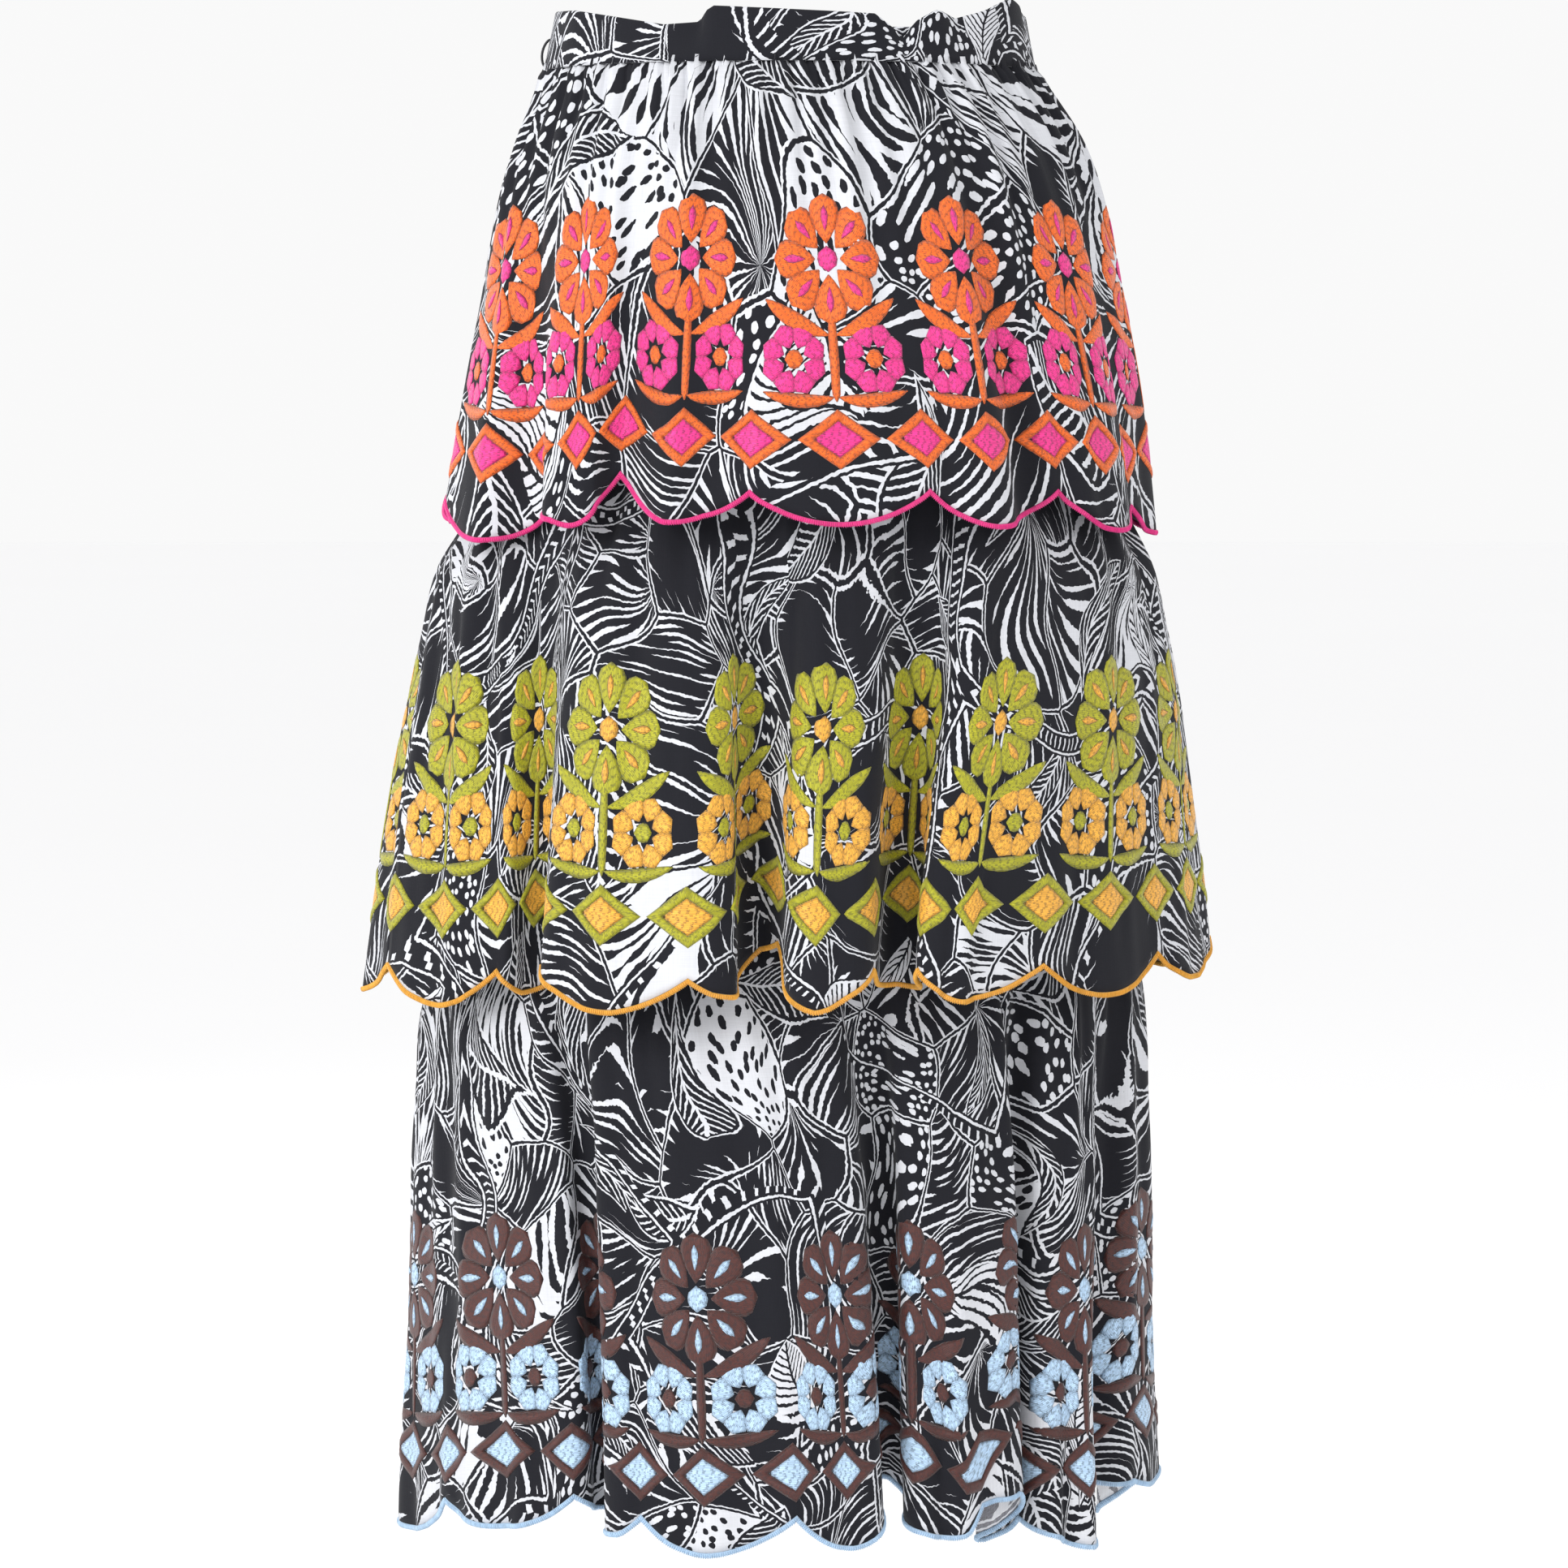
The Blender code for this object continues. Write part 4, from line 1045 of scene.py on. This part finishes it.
def thread_material(name, colour):
    material, sums, shader = start_material(name)
    flat = flat_place(sums)
    x, y, _ = sums.parts(sums.stir(flat, flat, *ROWS_SWAY))
    row = y / STITCH_WIDTH
    number = sums.do("FLOOR", row)
    start = sums.result("ShaderNodeTexWhiteNoise", {"W": number}, noise_dimensions="1D")
    stitch = x / STITCH_LENGTH + start
    seat = sums.point(sums.do("FLOOR", stitch), number)
    luck = sums.result("ShaderNodeTexWhiteNoise", {"Vector": seat}, noise_dimensions="2D")
    near_end, beside = sums.off_middle(stitch), sums.off_middle(row)
    gap = (near_end > GAP_FROM) * (luck > STITCHES_WITHOUT_GAP) * (beside > GAP_BESIDE)
    # painted shade: each thread is darkened towards the sides of its row, where the grooves between rows would be in
    # shade
    shade = luck * PALER_BY_LUCK + DARKEST_STITCH - beside ** SIDE_SHADE_SHARPNESS * SHADE_PAINTED_AT_SIDES
    body = sums.shaded(colour, shade)
    height = (1.0 - beside * beside) - near_end ** SHARP_END
    finish_material(sums, shader, sums.tint(gap * GAP_DEPTH, body, BLACK_INK), THREAD_FINISH, height)
    return material


THREADS = {
    thread.name: thread_material(f"{thread.name}_thread_fill", thread.colour) for thread in FILL_THREADS
}
print("thread materials:", len(THREADS))

# %% [markdown]
# ## The embroidered flowers
# Over every scallop stands one big flower on a stem, with two round flowers below it. Each petal, leaf
# and stem is one patch of stitches: a curved middle line with a width that swells and narrows. A patch is
# drawn flat first, then laid on the hanging cloth point by point, with its middle raised as padded
# stitching is. Its underside lies just inside the cloth, so every patch is a closed, lens-shaped pad.

# %% Drawing patches on the flat cloth
Patch = namedtuple("Patch", "points faces heights flat")
PAD_EDGE, PAD_UNDER, PAD_CROWN, CROWN_ROUNDNESS = 0.12, -0.12, 0.26, 0.7
FULL_CROWN_FROM = 2.4  # half width at which a patch is fully padded
STEP_ALONG, STEP_ACROSS = 3.6, 3.0
TIP_HALF_WIDTH = 0.35


def curved_line(start, bend, end, steps):
    """A quadratic Bezier curve and the direction to its right, both in millimetres."""
    t = np.linspace(0, 1, steps + 1)[:, None]
    start, bend, end = (np.array(p, float) for p in (start, bend, end))
    line = (1 - t) ** 2 * start + 2 * t * (1 - t) * bend + t ** 2 * end
    heading = unit(2 * (1 - t) * (bend - start) + 2 * t * (end - bend))
    return line, np.column_stack([heading[:, 1], -heading[:, 0]])


def close_pad(top_points, heights, flat, wrap=False):
    """A grid of flat points becomes a pad: a raised top, and an underside that shares the top's rim."""
    rows, columns = heights.shape
    index = np.arange(rows * columns).reshape(rows, columns)
    rim = np.zeros((rows, columns), bool)
    rim[:, [0, -1]] = True
    if not wrap:
        rim[[0, -1]] = True
    under = index.copy()
    under[~rim] = rows * columns + np.arange((~rim).sum())
    if wrap:
        index, under = np.vstack([index, index[:1]]), np.vstack([under, under[:1]])
    top = np.stack([index[:-1, :-1], index[:-1, 1:], index[1:, 1:], index[1:, :-1]], axis=-1).reshape(-1, 4)
    below = np.stack([under[:-1, :-1], under[1:, :-1], under[1:, 1:], under[:-1, 1:]], axis=-1).reshape(-1, 4)
    heights = np.where(rim, PAD_EDGE, heights)
    return Patch(
        np.concatenate([top_points.reshape(-1, 2), top_points[~rim]]),
        np.concatenate([top, below]),
        np.concatenate([heights.ravel(), np.full((~rim).sum(), PAD_UNDER)]),
        np.concatenate([flat.reshape(-1, 2), flat[~rim]]),
    )


def petal(start, bend, end, half_width, widest=0.5, blunt=0.75):
    """A patch along a curve. widest is where it is broadest, and blunt below 1 makes its ends rounder."""
    length = math.dist(start, bend) + math.dist(bend, end)
    steps = max(4, round(length / STEP_ALONG))
    across = max(2, 2 * round(half_width / STEP_ACROSS))
    line, right = curved_line(start, bend, end, steps)
    along = np.linspace(0, 1, steps + 1) ** (math.log(0.5) / math.log(widest))
    width = TIP_HALF_WIDTH + (half_width - TIP_HALF_WIDTH) * np.sin(math.pi * along) ** blunt
    side = np.linspace(-1, 1, across + 1)
    points = line[:, None] + right[:, None] * width[:, None, None] * side[None, :, None]
    full = np.minimum(1, width / FULL_CROWN_FROM)[:, None]
    heights = PAD_EDGE + PAD_CROWN * (1 - side ** 4) ** CROWN_ROUNDNESS * full
    ways = np.linspace(0, length, steps + 1)[:, None], side * width[:, None]
    return close_pad(points, heights, np.stack(np.broadcast_arrays(*ways), axis=-1))


def pointing(centre, degrees, near, far, half_width, **shape):
    """A petal that points away from a centre, at so many degrees from straight up."""
    ahead = np.array([math.sin(math.radians(degrees)), math.cos(math.radians(degrees))])
    return petal(*(centre + ahead * reach for reach in (near, (near + far) / 2, far)), half_width, **shape)


def eye(centre, reach, half_width):
    """The round middle of a flower. reach is the way from its centre to its end."""
    return petal(centre - reach, centre, centre + reach, half_width, blunt=0.5)


FLOWER_MIDDLE = np.array([0.0, 71.0])
SIDE_FLOWERS = np.array([-23.5, 18.5]), np.array([23.5, 18.5])
EIGHT = np.arange(8) * 45  # degrees
TALL_PETAL = dict(near=8.2, far=34.5, half_width=10.4, widest=0.65, blunt=0.55)
ROUND_PETAL = dict(near=6.2, far=19.2, half_width=6.7, widest=0.62, blunt=0.55)
HEART = dict(near=15.0, far=28.0, half_width=2.3, widest=0.6)


def upper_flower():
    """The patches in the first thread: a round flower, its stem and leaves, and the lower flowers' eyes."""
    patches = [petal((0, -4), (0, 20), (0, 43), 2.8, blunt=0.18)]
    patches += [pointing(FLOWER_MIDDLE, degrees, **TALL_PETAL) for degrees in EIGHT]
    for side, centre in zip((-1, 1), SIDE_FLOWERS):
        patches.append(petal((side * 2, 31), (side * 20, 35), (side * 40, 50), 4.8, widest=0.55))
        patches.append(petal((side * 1.5, -1.5), (side * 19, -6.5), (side * 41, 1.5), 3.8))
        patches.append(eye(centre, (5.4, 0), 5.2))
    return patches


def lower_flowers():
    """The patches in the second thread: two round flowers and the eye of the tall one."""
    patches = [eye(FLOWER_MIDDLE, (0, 6.8), 6.6)]
    for centre in SIDE_FLOWERS:
        patches += [pointing(centre, degrees, **ROUND_PETAL) for degrees in EIGHT + 22.5]
    return patches


def petal_hearts():
    """Small drops of the second thread that lie on top of the tall flower's petals."""
    return [pointing(FLOWER_MIDDLE, degrees, **HEART) for degrees in EIGHT]


print("patches in one flower:", len(upper_flower()) + len(lower_flowers()) + len(petal_hearts()))

# %% [markdown]
# ## The row of diamonds
# Below the flowers runs a row of framed diamonds, two to a scallop, an old border in many countries. The
# frame is satin stitch, padded high, and the middle is flat fill stitch a little lower.

# %% Diamonds
HALF_WIDE, HALF_TALL, FRAME_WIDTH = 22.5, 15.8, 5.2
DIAMOND_SIDE = math.hypot(HALF_WIDE, HALF_TALL)
DIAMOND_DEPTH = HALF_WIDE * HALF_TALL / DIAMOND_SIDE  # from its centre straight to a side
DIAMOND_STEPS = 7  # along a side
FRAME_CROWN, MIDDLE_CROWN, MIDDLE_ROUNDNESS, UNDER_FRAME = 0.8, 0.32, 0.4, 0.6


def diamond_frame():
    corners = np.array([[0, HALF_TALL], [-HALF_WIDE, 0], [0, -HALF_TALL], [HALF_WIDE, 0], [0, HALF_TALL]])
    share = np.arange(4 * DIAMOND_STEPS) / DIAMOND_STEPS
    side = share.astype(int)
    outline = corners[side] + (corners[side + 1] - corners[side]) * (share - side)[:, None]
    inward = np.linspace(0, 1, 4)
    points = outline[:, None] * (1 - inward[None, :, None] * FRAME_WIDTH / DIAMOND_DEPTH)
    heights = PAD_EDGE + FRAME_CROWN * np.sqrt(np.clip(1 - (2 * inward - 1) ** 2, 0, 1))
    flat = np.stack(np.broadcast_arrays(inward * FRAME_WIDTH, share[:, None] * DIAMOND_SIDE), axis=-1)
    return close_pad(points, np.broadcast_to(heights, points.shape[:2]), flat, wrap=True)


def diamond_middle():
    shrink = 1 - (FRAME_WIDTH - UNDER_FRAME) / DIAMOND_DEPTH
    a = np.linspace(0, 1, DIAMOND_STEPS + 1)
    first, second = np.meshgrid(a, a[::-1], indexing="ij")
    points = np.stack([(first + second - 1) * HALF_WIDE, (first - second) * HALF_TALL], axis=-1) * shrink
    dome = np.clip(16 * first * (1 - first) * second * (1 - second), 0, 1)
    return close_pad(points, PAD_EDGE + MIDDLE_CROWN * dome ** MIDDLE_ROUNDNESS, points)


print("diamond:", 2 * HALF_WIDE, "x", 2 * HALF_TALL, "mm")

# %% [markdown]
# ## Laying the embroidery on the cloth
# A patch copies to every scallop in one go. Each of its points goes to its place on the flat cloth, and
# from there to the hanging cloth, then out along the direction that the cloth faces by its height.

# %% Stitching the patches down
PAIRS = {"top": (ORANGE, PINK), "middle": (LIME, YELLOW), "bottom": (BROWN, BLUE)}
# How far above a scallop's lowest part the flowers' foot and the middles of the diamonds are.
ROWS = {"top": (66.5, 43.0), "middle": (72.0, 48.0), "bottom": (60.5, 39.5)}
LOWER_FLOWER_LIFT, HEART_LIFT = 0.04, 0.36


def embroider(name, cloth, patches, centres, above, material, lift):
    starts = np.cumsum([0] + [len(patch.points) for patch in patches])
    points, heights, flat = (
        np.concatenate([getattr(patch, field) for patch in patches])
        for field in ("points", "heights", "flat")
    )
    faces = np.concatenate([patch.faces + start for patch, start in zip(patches, starts)])
    repeat = centres[:, None] + points[None, :, 0] / REPEAT
    down = cloth.strip.length + cloth.strip.scallop - above - points[None, :, 1]
    down = np.broadcast_to(down, repeat.shape)
    out = (WALL / 2 + (heights + lift))[None, :, None]
    placed = cloth.middle(repeat, down) + cloth.facing(repeat, down) * out
    all_faces = np.concatenate([faces + starts[-1] * i for i in range(len(centres))])
    return add_mesh(name, placed, all_faces, material, flat=np.tile(flat, (len(centres), 1)))


on_cloth = {name: [] for name in TIERS}
for name, cloth in TIERS.items():
    (first, second), (foot, row), strip = PAIRS[name], ROWS[name], cloth.strip
    whole = np.ceil(strip.first_repeat) + np.arange(strip.repeats)
    halves = strip.first_repeat + np.arange(2 * strip.repeats) / 2
    work = (
        ("upper_flowers", upper_flower(), whole, foot, first, 0.0),
        ("lower_flowers", lower_flowers(), whole, foot, second, LOWER_FLOWER_LIFT),
        ("petal_hearts", petal_hearts(), whole, foot, second, HEART_LIFT),
        ("diamond_frames", [diamond_frame()], halves, row, first, 0.0),
        ("diamond_middles", [diamond_middle()], halves, row, second, 0.0),
    )
    for kind, patches, centres, above, thread, lift in work:
        piece = embroider(f"{kind}_{name}", cloth, patches, centres, above, THREADS[thread.name], lift)
        on_cloth[name].append(finish_piece(piece, thread.slot))
    print(name, "embroidery:", sum(len(piece.data.polygons) for piece in on_cloth[name]), "faces")

# %% [markdown]
# ## The stitched hems
# Each scalloped edge is bound by dense satin stitch over a padding cord. The cord is a tube that follows
# the hem. Geometry Nodes then wrap it: a path along the hem is cut into equal steps, and at each step one
# thread, bent into a C, is turned to face out of the cloth. The same tree later wraps the belt loop.

# %% The stitch tree
SLANT_JITTER = 0.06
ARC_STEPS, THREAD_SIDES = 6, 3


def random_number(sums, seed, low=0.0, high=1.0):
    """A number that is random for each stitch."""
    inputs = {"Min": low, "Max": high, "Seed": seed}
    node = sums.node("FunctionNodeRandomValue", inputs, data_type="FLOAT")
    return next(socket for socket in node.outputs if socket.type == "VALUE" and socket.enabled)


def stitch_tree():
    """Geometry Nodes: wraps a path in bent threads. It reads the attributes ahead and beside of the path."""
    tree = bpy.data.node_groups.new("satin_stitches", "GeometryNodeTree")
    sockets = (
        ("Path", "INPUT", "Geometry"), ("Stitch pitch", "INPUT", "Float"), ("Reach ahead", "INPUT", "Float"),
        ("Reach beside", "INPUT", "Float"), ("Thread radius", "INPUT", "Float"), ("Bend", "INPUT", "Float"),
        ("Slant", "INPUT", "Float"), ("Seed", "INPUT", "Int"), ("Thread", "INPUT", "Material"),
        ("Stitches", "OUTPUT", "Geometry"),
    )
    for name, way, kind in sockets:
        tree.interface.new_socket(name, in_out=way, socket_type="NodeSocket" + kind)
    sums = Sums(tree)
    given = sums.node("NodeGroupInput").outputs
    path = sums.result("GeometryNodeMeshToCurve", {"Mesh": given["Path"]})
    inputs = {"Curve": path, "Length": given["Stitch pitch"]}
    steps = sums.result("GeometryNodeResampleCurve", inputs, "Curve", mode="LENGTH")
    half_bend = sums.do("MULTIPLY", given["Bend"], -0.5)
    inputs = {"Resolution": ARC_STEPS, "Radius": 1.0, "Start Angle": half_bend, "Sweep Angle": given["Bend"]}
    arc = sums.result("GeometryNodeCurveArc", inputs, "Curve", mode="RADIUS")
    size = sums.point(given["Reach ahead"], given["Reach beside"], 1.0)
    arc = sums.result("GeometryNodeTransform", {"Geometry": arc, "Scale": size})
    inputs = {"Resolution": THREAD_SIDES, "Radius": given["Thread radius"]}
    circle = sums.result("GeometryNodeCurvePrimitiveCircle", inputs, "Curve", mode="RADIUS")
    inputs = {"Curve": arc, "Profile Curve": circle, "Fill Caps": True}
    thread = sums.result("GeometryNodeCurveToMesh", inputs)
    ahead, beside = (
        sums.result("GeometryNodeInputNamedAttribute", {"Name": name}, "Attribute", data_type="FLOAT_VECTOR")
        for name in ("ahead", "beside")
    )
    inputs = {"Primary Axis": ahead, "Secondary Axis": beside}
    turned = sums.result("FunctionNodeAxesToRotation", inputs, primary_axis="X", secondary_axis="Y")
    jitter = random_number(sums, given["Seed"], -SLANT_JITTER, SLANT_JITTER)
    slant = sums.point(sums.do("ADD", given["Slant"], jitter), 0.0)
    inputs = {"Rotation": turned, "Rotate By": slant}
    slanted = sums.result("FunctionNodeRotateRotation", inputs, rotation_space="LOCAL")
    inputs = {"Points": steps, "Instance": thread, "Rotation": slanted}
    placed = sums.result("GeometryNodeInstanceOnPoints", inputs)
    inputs = {"Geometry": placed, "Name": "luck", "Value": random_number(sums, given["Seed"])}
    marked = sums.result("GeometryNodeStoreNamedAttribute", inputs, data_type="FLOAT", domain="INSTANCE")
    real = sums.result("GeometryNodeRealizeInstances", {"Geometry": marked})
    dyed = sums.result("GeometryNodeSetMaterial", {"Geometry": real, "Material": given["Thread"]})
    sums.feed(sums.node("NodeGroupOutput").inputs[0], dyed)
    return tree


STITCH_TREE = stitch_tree()
print("stitch tree:", len(STITCH_TREE.nodes), "nodes")

# %% [markdown]
# ## Running the tree
# The tree's inputs are set by their identifiers before the path object is first looked at. The result is
# copied into a plain mesh, and the path object goes. Each stitch keeps a random number that the thread's
# material uses to make one stitch a little paler than the next.

# %% Cords and their stitches
CORD_REACH, CORD_HALF = 1.5, 1.0  # the hem's edge with its stitches on: half its height and half its depth
PADDING_WITHIN, TUBE_SIDES, BITES_CLOTH = 0.25, 8, 0.2
HEM_STEPS = 32  # path points a repeat
INSIDE_EDGE = 1.5  # how far from the edge the cloth's facing is read
SATIN_FINISH = Finish(roughness=0.5, specular=0.4, sheen=0.15, bump=0.3, depth=0.0001)
FIBRE_SCALE, DARKEST_SATIN, SATIN_PALER_BY_LUCK = 2600.0, 0.86, 0.24
HEM_SATIN = {
    "Stitch pitch": 1.15 * MM, "Reach ahead": (CORD_REACH - 0.1) * MM, "Reach beside": (CORD_HALF - 0.1) * MM,
    "Thread radius": 0.52 * MM, "Bend": 4.2, "Slant": 0.25, "Seed": 5,
}


def stitch_material(name, colour):
    material, sums, shader = start_material(name)
    luck = sums.result("ShaderNodeAttribute", output="Fac", attribute_name="luck")
    place = sums.result("ShaderNodeTexCoord", output="Object")
    fibre = sums.result("ShaderNodeTexNoise", {"Vector": place, "Scale": FIBRE_SCALE, "Detail": 2.0})
    body = sums.shaded(colour, luck * SATIN_PALER_BY_LUCK + DARKEST_SATIN)
    finish_material(sums, shader, body, SATIN_FINISH, fibre)
    return material


def wrap_path(name, points, ahead, beside, material, inputs, closed=True):
    """Runs the stitch tree on a path of points in millimetres and returns a plain mesh object."""
    count = len(points)
    edges = [(i, (i + 1) % count) for i in range(count if closed else count - 1)]
    mesh = bpy.data.meshes.new(name)
    mesh.from_pydata((points * MM).tolist(), edges, [])
    for attribute, values in (("ahead", ahead), ("beside", beside)):
        layer = mesh.attributes.new(attribute, "FLOAT_VECTOR", "POINT")
        layer.data.foreach_set("vector", values.astype(np.float32).ravel())
    path = put(name + "_path", mesh)
    modifier = path.modifiers.new("stitches", "NODES")
    modifier.node_group = STITCH_TREE
    inputs = {**inputs, "Thread": material}
    for item in STITCH_TREE.interface.items_tree:
        if item.name in inputs:
            modifier[item.identifier] = inputs[item.name]
    graph = bpy.context.evaluated_depsgraph_get()
    made = bpy.data.meshes.new_from_object(path.evaluated_get(graph), depsgraph=graph)
    made.name = name
    bpy.data.objects.remove(path)
    return put(name, made)


def hem_frame(cloth):
    """Points along a hem with the directions away from its edge and out of the cloth."""
    strip = cloth.strip
    repeats = strip.first_repeat + np.arange(strip.repeats * HEM_STEPS) / HEM_STEPS
    edge = cloth.edge_flat(repeats)
    points = cloth.middle(repeats, edge)
    onward = unit(np.roll(points, -1, axis=0) - np.roll(points, 1, axis=0))
    beside = cloth.facing(repeats, edge - INSIDE_EDGE)
    beside = unit(beside - onward * (beside * onward).sum(axis=1, keepdims=True))
    ahead = np.cross(onward, beside)
    return points + ahead * (CORD_REACH - BITES_CLOTH), ahead, beside


def make_tube(name, centres, ahead, beside, reach, half, material):
    angle = np.linspace(0, 2 * math.pi, TUBE_SIDES, endpoint=False)[None, :, None]
    rings = centres[:, None] + ahead[:, None] * np.cos(angle) * reach + beside[:, None] * np.sin(angle) * half
    index = np.arange(len(centres) * TUBE_SIDES).reshape(-1, TUBE_SIDES)
    onward, round_it = np.roll(index, -1, axis=0), np.roll(index, -1, axis=1)
    faces = np.stack([index, onward, np.roll(onward, -1, axis=1), round_it], axis=-1).reshape(-1, 4)
    return add_mesh(name, rings, faces, material)


hem_cords = {}
for name, cloth in TIERS.items():
    thread = PAIRS[name][1]
    material = stitch_material(f"{thread.name}_satin", thread.colour)
    way = hem_frame(cloth)
    inside = CORD_REACH - PADDING_WITHIN, CORD_HALF - PADDING_WITHIN
    cord = make_tube(f"hem_padding_{name}", *way, *inside, material)
    stitches = wrap_path(f"hem_stitches_{name}", *way, material, HEM_SATIN)
    hem_cords[name] = [
        finish_piece(cord, thread.slot, f"hem_cord_{name}"), finish_piece(stitches, thread.slot)
    ]
    print(f"{name} hem: {len(stitches.data.polygons)} faces of stitches")

# %% [markdown]
# ## The belt loop
# At the wearer's right side seam a short bar of thread stands off the waistband, to hold a belt. It is a
# few strands from top to bottom, wrapped closely in the same thread. Here one bent tube stands for the
# strands. Its feet end just inside the band, and the stitch tree wraps it.

# %% The belt loop
LOOP_REPEAT, LOOP_FEET, LOOP_STANDS_OUT, LOOP_RADIUS, FOOT_IN_BAND = -1.85, (1.5, 13.0), 4.2, 0.62, 0.2
LOOP_POINTS, LOOP_ARCH = 25, 0.55
LOOP_BLACK = (0.012, 0.012, 0.015)
LOOP_SATIN = {
    "Stitch pitch": 0.62 * MM, "Reach ahead": LOOP_RADIUS * MM, "Reach beside": LOOP_RADIUS * MM,
    "Thread radius": 0.3 * MM, "Bend": 6.28, "Slant": 0.2, "Seed": 9,
}


def make_loop(material):
    low, high = LOOP_FEET
    share = np.linspace(0, 1, LOOP_POINTS)
    heights = low + (high - low) * share
    arch = np.sin(math.pi * share) ** LOOP_ARCH
    outs = BAND_HALF_WALL - FOOT_IN_BAND + (LOOP_STANDS_OUT - BAND_HALF_WALL) * arch
    repeats = np.full(len(share), LOOP_REPEAT)
    facing = BAND.facing(repeats, heights)
    points = BAND.middle(repeats, heights) + facing * outs[:, None]
    onward = unit(np.gradient(points, axis=0))
    side = unit(np.cross(onward, facing))
    way = points, np.cross(side, onward), side
    core = make_tube("side_loop_core", *way, LOOP_RADIUS, LOOP_RADIUS, material)
    return core, wrap_path("side_loop_wraps", *way, material, LOOP_SATIN, closed=False)


core, wraps = make_loop(stitch_material("black_satin", LOOP_BLACK))
finish_piece(core, "black_thread", "side_loop")
finish_piece(wraps, "black_thread")
print("belt loop wraps:", len(wraps.data.polygons), "faces")

# %% [markdown]
# ## The cut of each sheet
# Each panel is declared with the size that it was cut to. A tier is cut twice as long as its seam, or
# nearly, and the gathers take up the rest. The base panels are flared, so they have an area of their own.

# %% Declaring the cloth
HUNG_FROM = {"top": "waistband", "middle": "lower_base", "bottom": "lower_base"}
for name, cloth in TIERS.items():
    strip = cloth.strip
    for half in ("front", "back"):
        carried = hem_cords[name] + on_cloth[name] if half == "front" else ()
        cut = strip.repeats / 2 * REPEAT * MM, (strip.length + strip.scallop + SEAM_ALLOWANCE) * MM
        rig.sheet(
            panels[f"{strip.name}_{half}"], flat=cut, held="gathered",
            rests_on=[panels[f"{HUNG_FROM[name]}_{half}"]], with_pieces=carried,
        )
for half in ("front", "back"):
    band, upper, lower = (panels[f"{name}_{half}"] for name in ("waistband", "upper_base", "lower_base"))
    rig.sheet(band, flat=(0.384, 0.030), held="stretched", rests_on=[panels[f"top_tier_{half}"]])
    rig.sheet(upper, flat=(0.44, 0.195), held="hung", area=0.078, rests_on=[band])
    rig.sheet(lower, flat=(0.49, 0.245), held="hung", area=0.113, rests_on=[upper])

# %% [markdown]
# ## The studio
# A pale floor below the skirt, an even white sky, a large soft light from the front left, and two weaker
# ones from the front right and from behind. Black and white cloth needs little contrast from the light:
# the print has it already, and the folds only need to be told apart. The standard view transform keeps
# the thread colours as pure as they are.

# %% Floor, sky and lights
FLOOR_BELOW, FLOOR_RADIUS, FLOOR_CORNERS = 0.20, 30.0, 96
FLOOR_FINISH = Finish(roughness=0.9, specular=0.1, sheen=0.0, bump=0.0, depth=0.0)
FLOOR_COLOURS = (0.985, 0.985, 0.99), (0.995, 0.995, 1.0)
CLOUD_SCALE = 0.6
SKY = 0.95
SKIRT_MIDDLE = (0.0, 0.0, -0.38)


def add_floor(height):
    angle = np.linspace(0, 2 * math.pi, FLOOR_CORNERS, endpoint=False)
    x, y = np.cos(angle) * FLOOR_RADIUS, np.sin(angle) * FLOOR_RADIUS
    points = np.column_stack([x, y, np.full(FLOOR_CORNERS, height)]) / MM
    material, sums, shader = start_material("pale_floor")
    place = sums.result("ShaderNodeTexCoord", output="Object")
    cloud = sums.result("ShaderNodeTexNoise", {"Vector": place, "Scale": CLOUD_SCALE})
    finish_material(sums, shader, sums.tint(cloud, *FLOOR_COLOURS), FLOOR_FINISH)
    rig.stage(add_mesh("floor", points, [list(range(FLOOR_CORNERS))], material, smooth=False))


def add_light(name, place, power, size):
    data = bpy.data.lights.new(name, "AREA")
    data.shape, data.size, data.energy = "SQUARE", size, power
    light = put(name, data)
    light.location = place
    away = [p - m for p, m in zip(place, SKIRT_MIDDLE)]
    flat = math.hypot(away[0], away[1])
    light.rotation_euler = (math.atan2(flat, away[2]), 0.0, math.atan2(away[0], -away[1]))


def add_sky():
    world = bpy.data.worlds.new("sky")
    world.use_nodes = True
    background = world.node_tree.nodes["Background"]
    background.inputs["Color"].default_value = (1.0, 1.0, 1.0, 1.0)
    background.inputs["Strength"].default_value = SKY
    bpy.context.scene.world = world


add_floor(cad_box[0][2] - FLOOR_BELOW)
add_sky()
add_light("left_window", (-2.1, -2.1, 0.8), power=62.0, size=1.4)
add_light("right_fill", (2.2, -1.9, 0.4), power=12.0, size=1.6)
add_light("back_left", (-1.8, 2.2, 0.8), power=10.0, size=1.6)
bpy.context.scene.view_settings.view_transform = "Standard"
bpy.context.scene.view_settings.look = "None"
print("lights:", sum(o.type == "LIGHT" for o in bpy.context.scene.objects))

# %% [markdown]
# ## Last checks
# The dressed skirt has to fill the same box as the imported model, give or take a soft edge, so both boxes
# are written down side by side.

# %% Sizes and finish
new_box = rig.bounds()
with open("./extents.json", "w") as f:
    json.dump({"cad": [list(c) for c in cad_box], "visual": [list(c) for c in new_box]}, f, indent=1)
print("visual box in mm:", [[round(c / MM, 1) for c in corner] for corner in new_box])
faces = {o.name: sum(len(p.vertices) - 2 for p in o.data.polygons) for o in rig.pieces() if o.type == "MESH"}
print("triangles:", sum(faces.values()), "largest:", max(faces.items(), key=lambda row: row[1]))
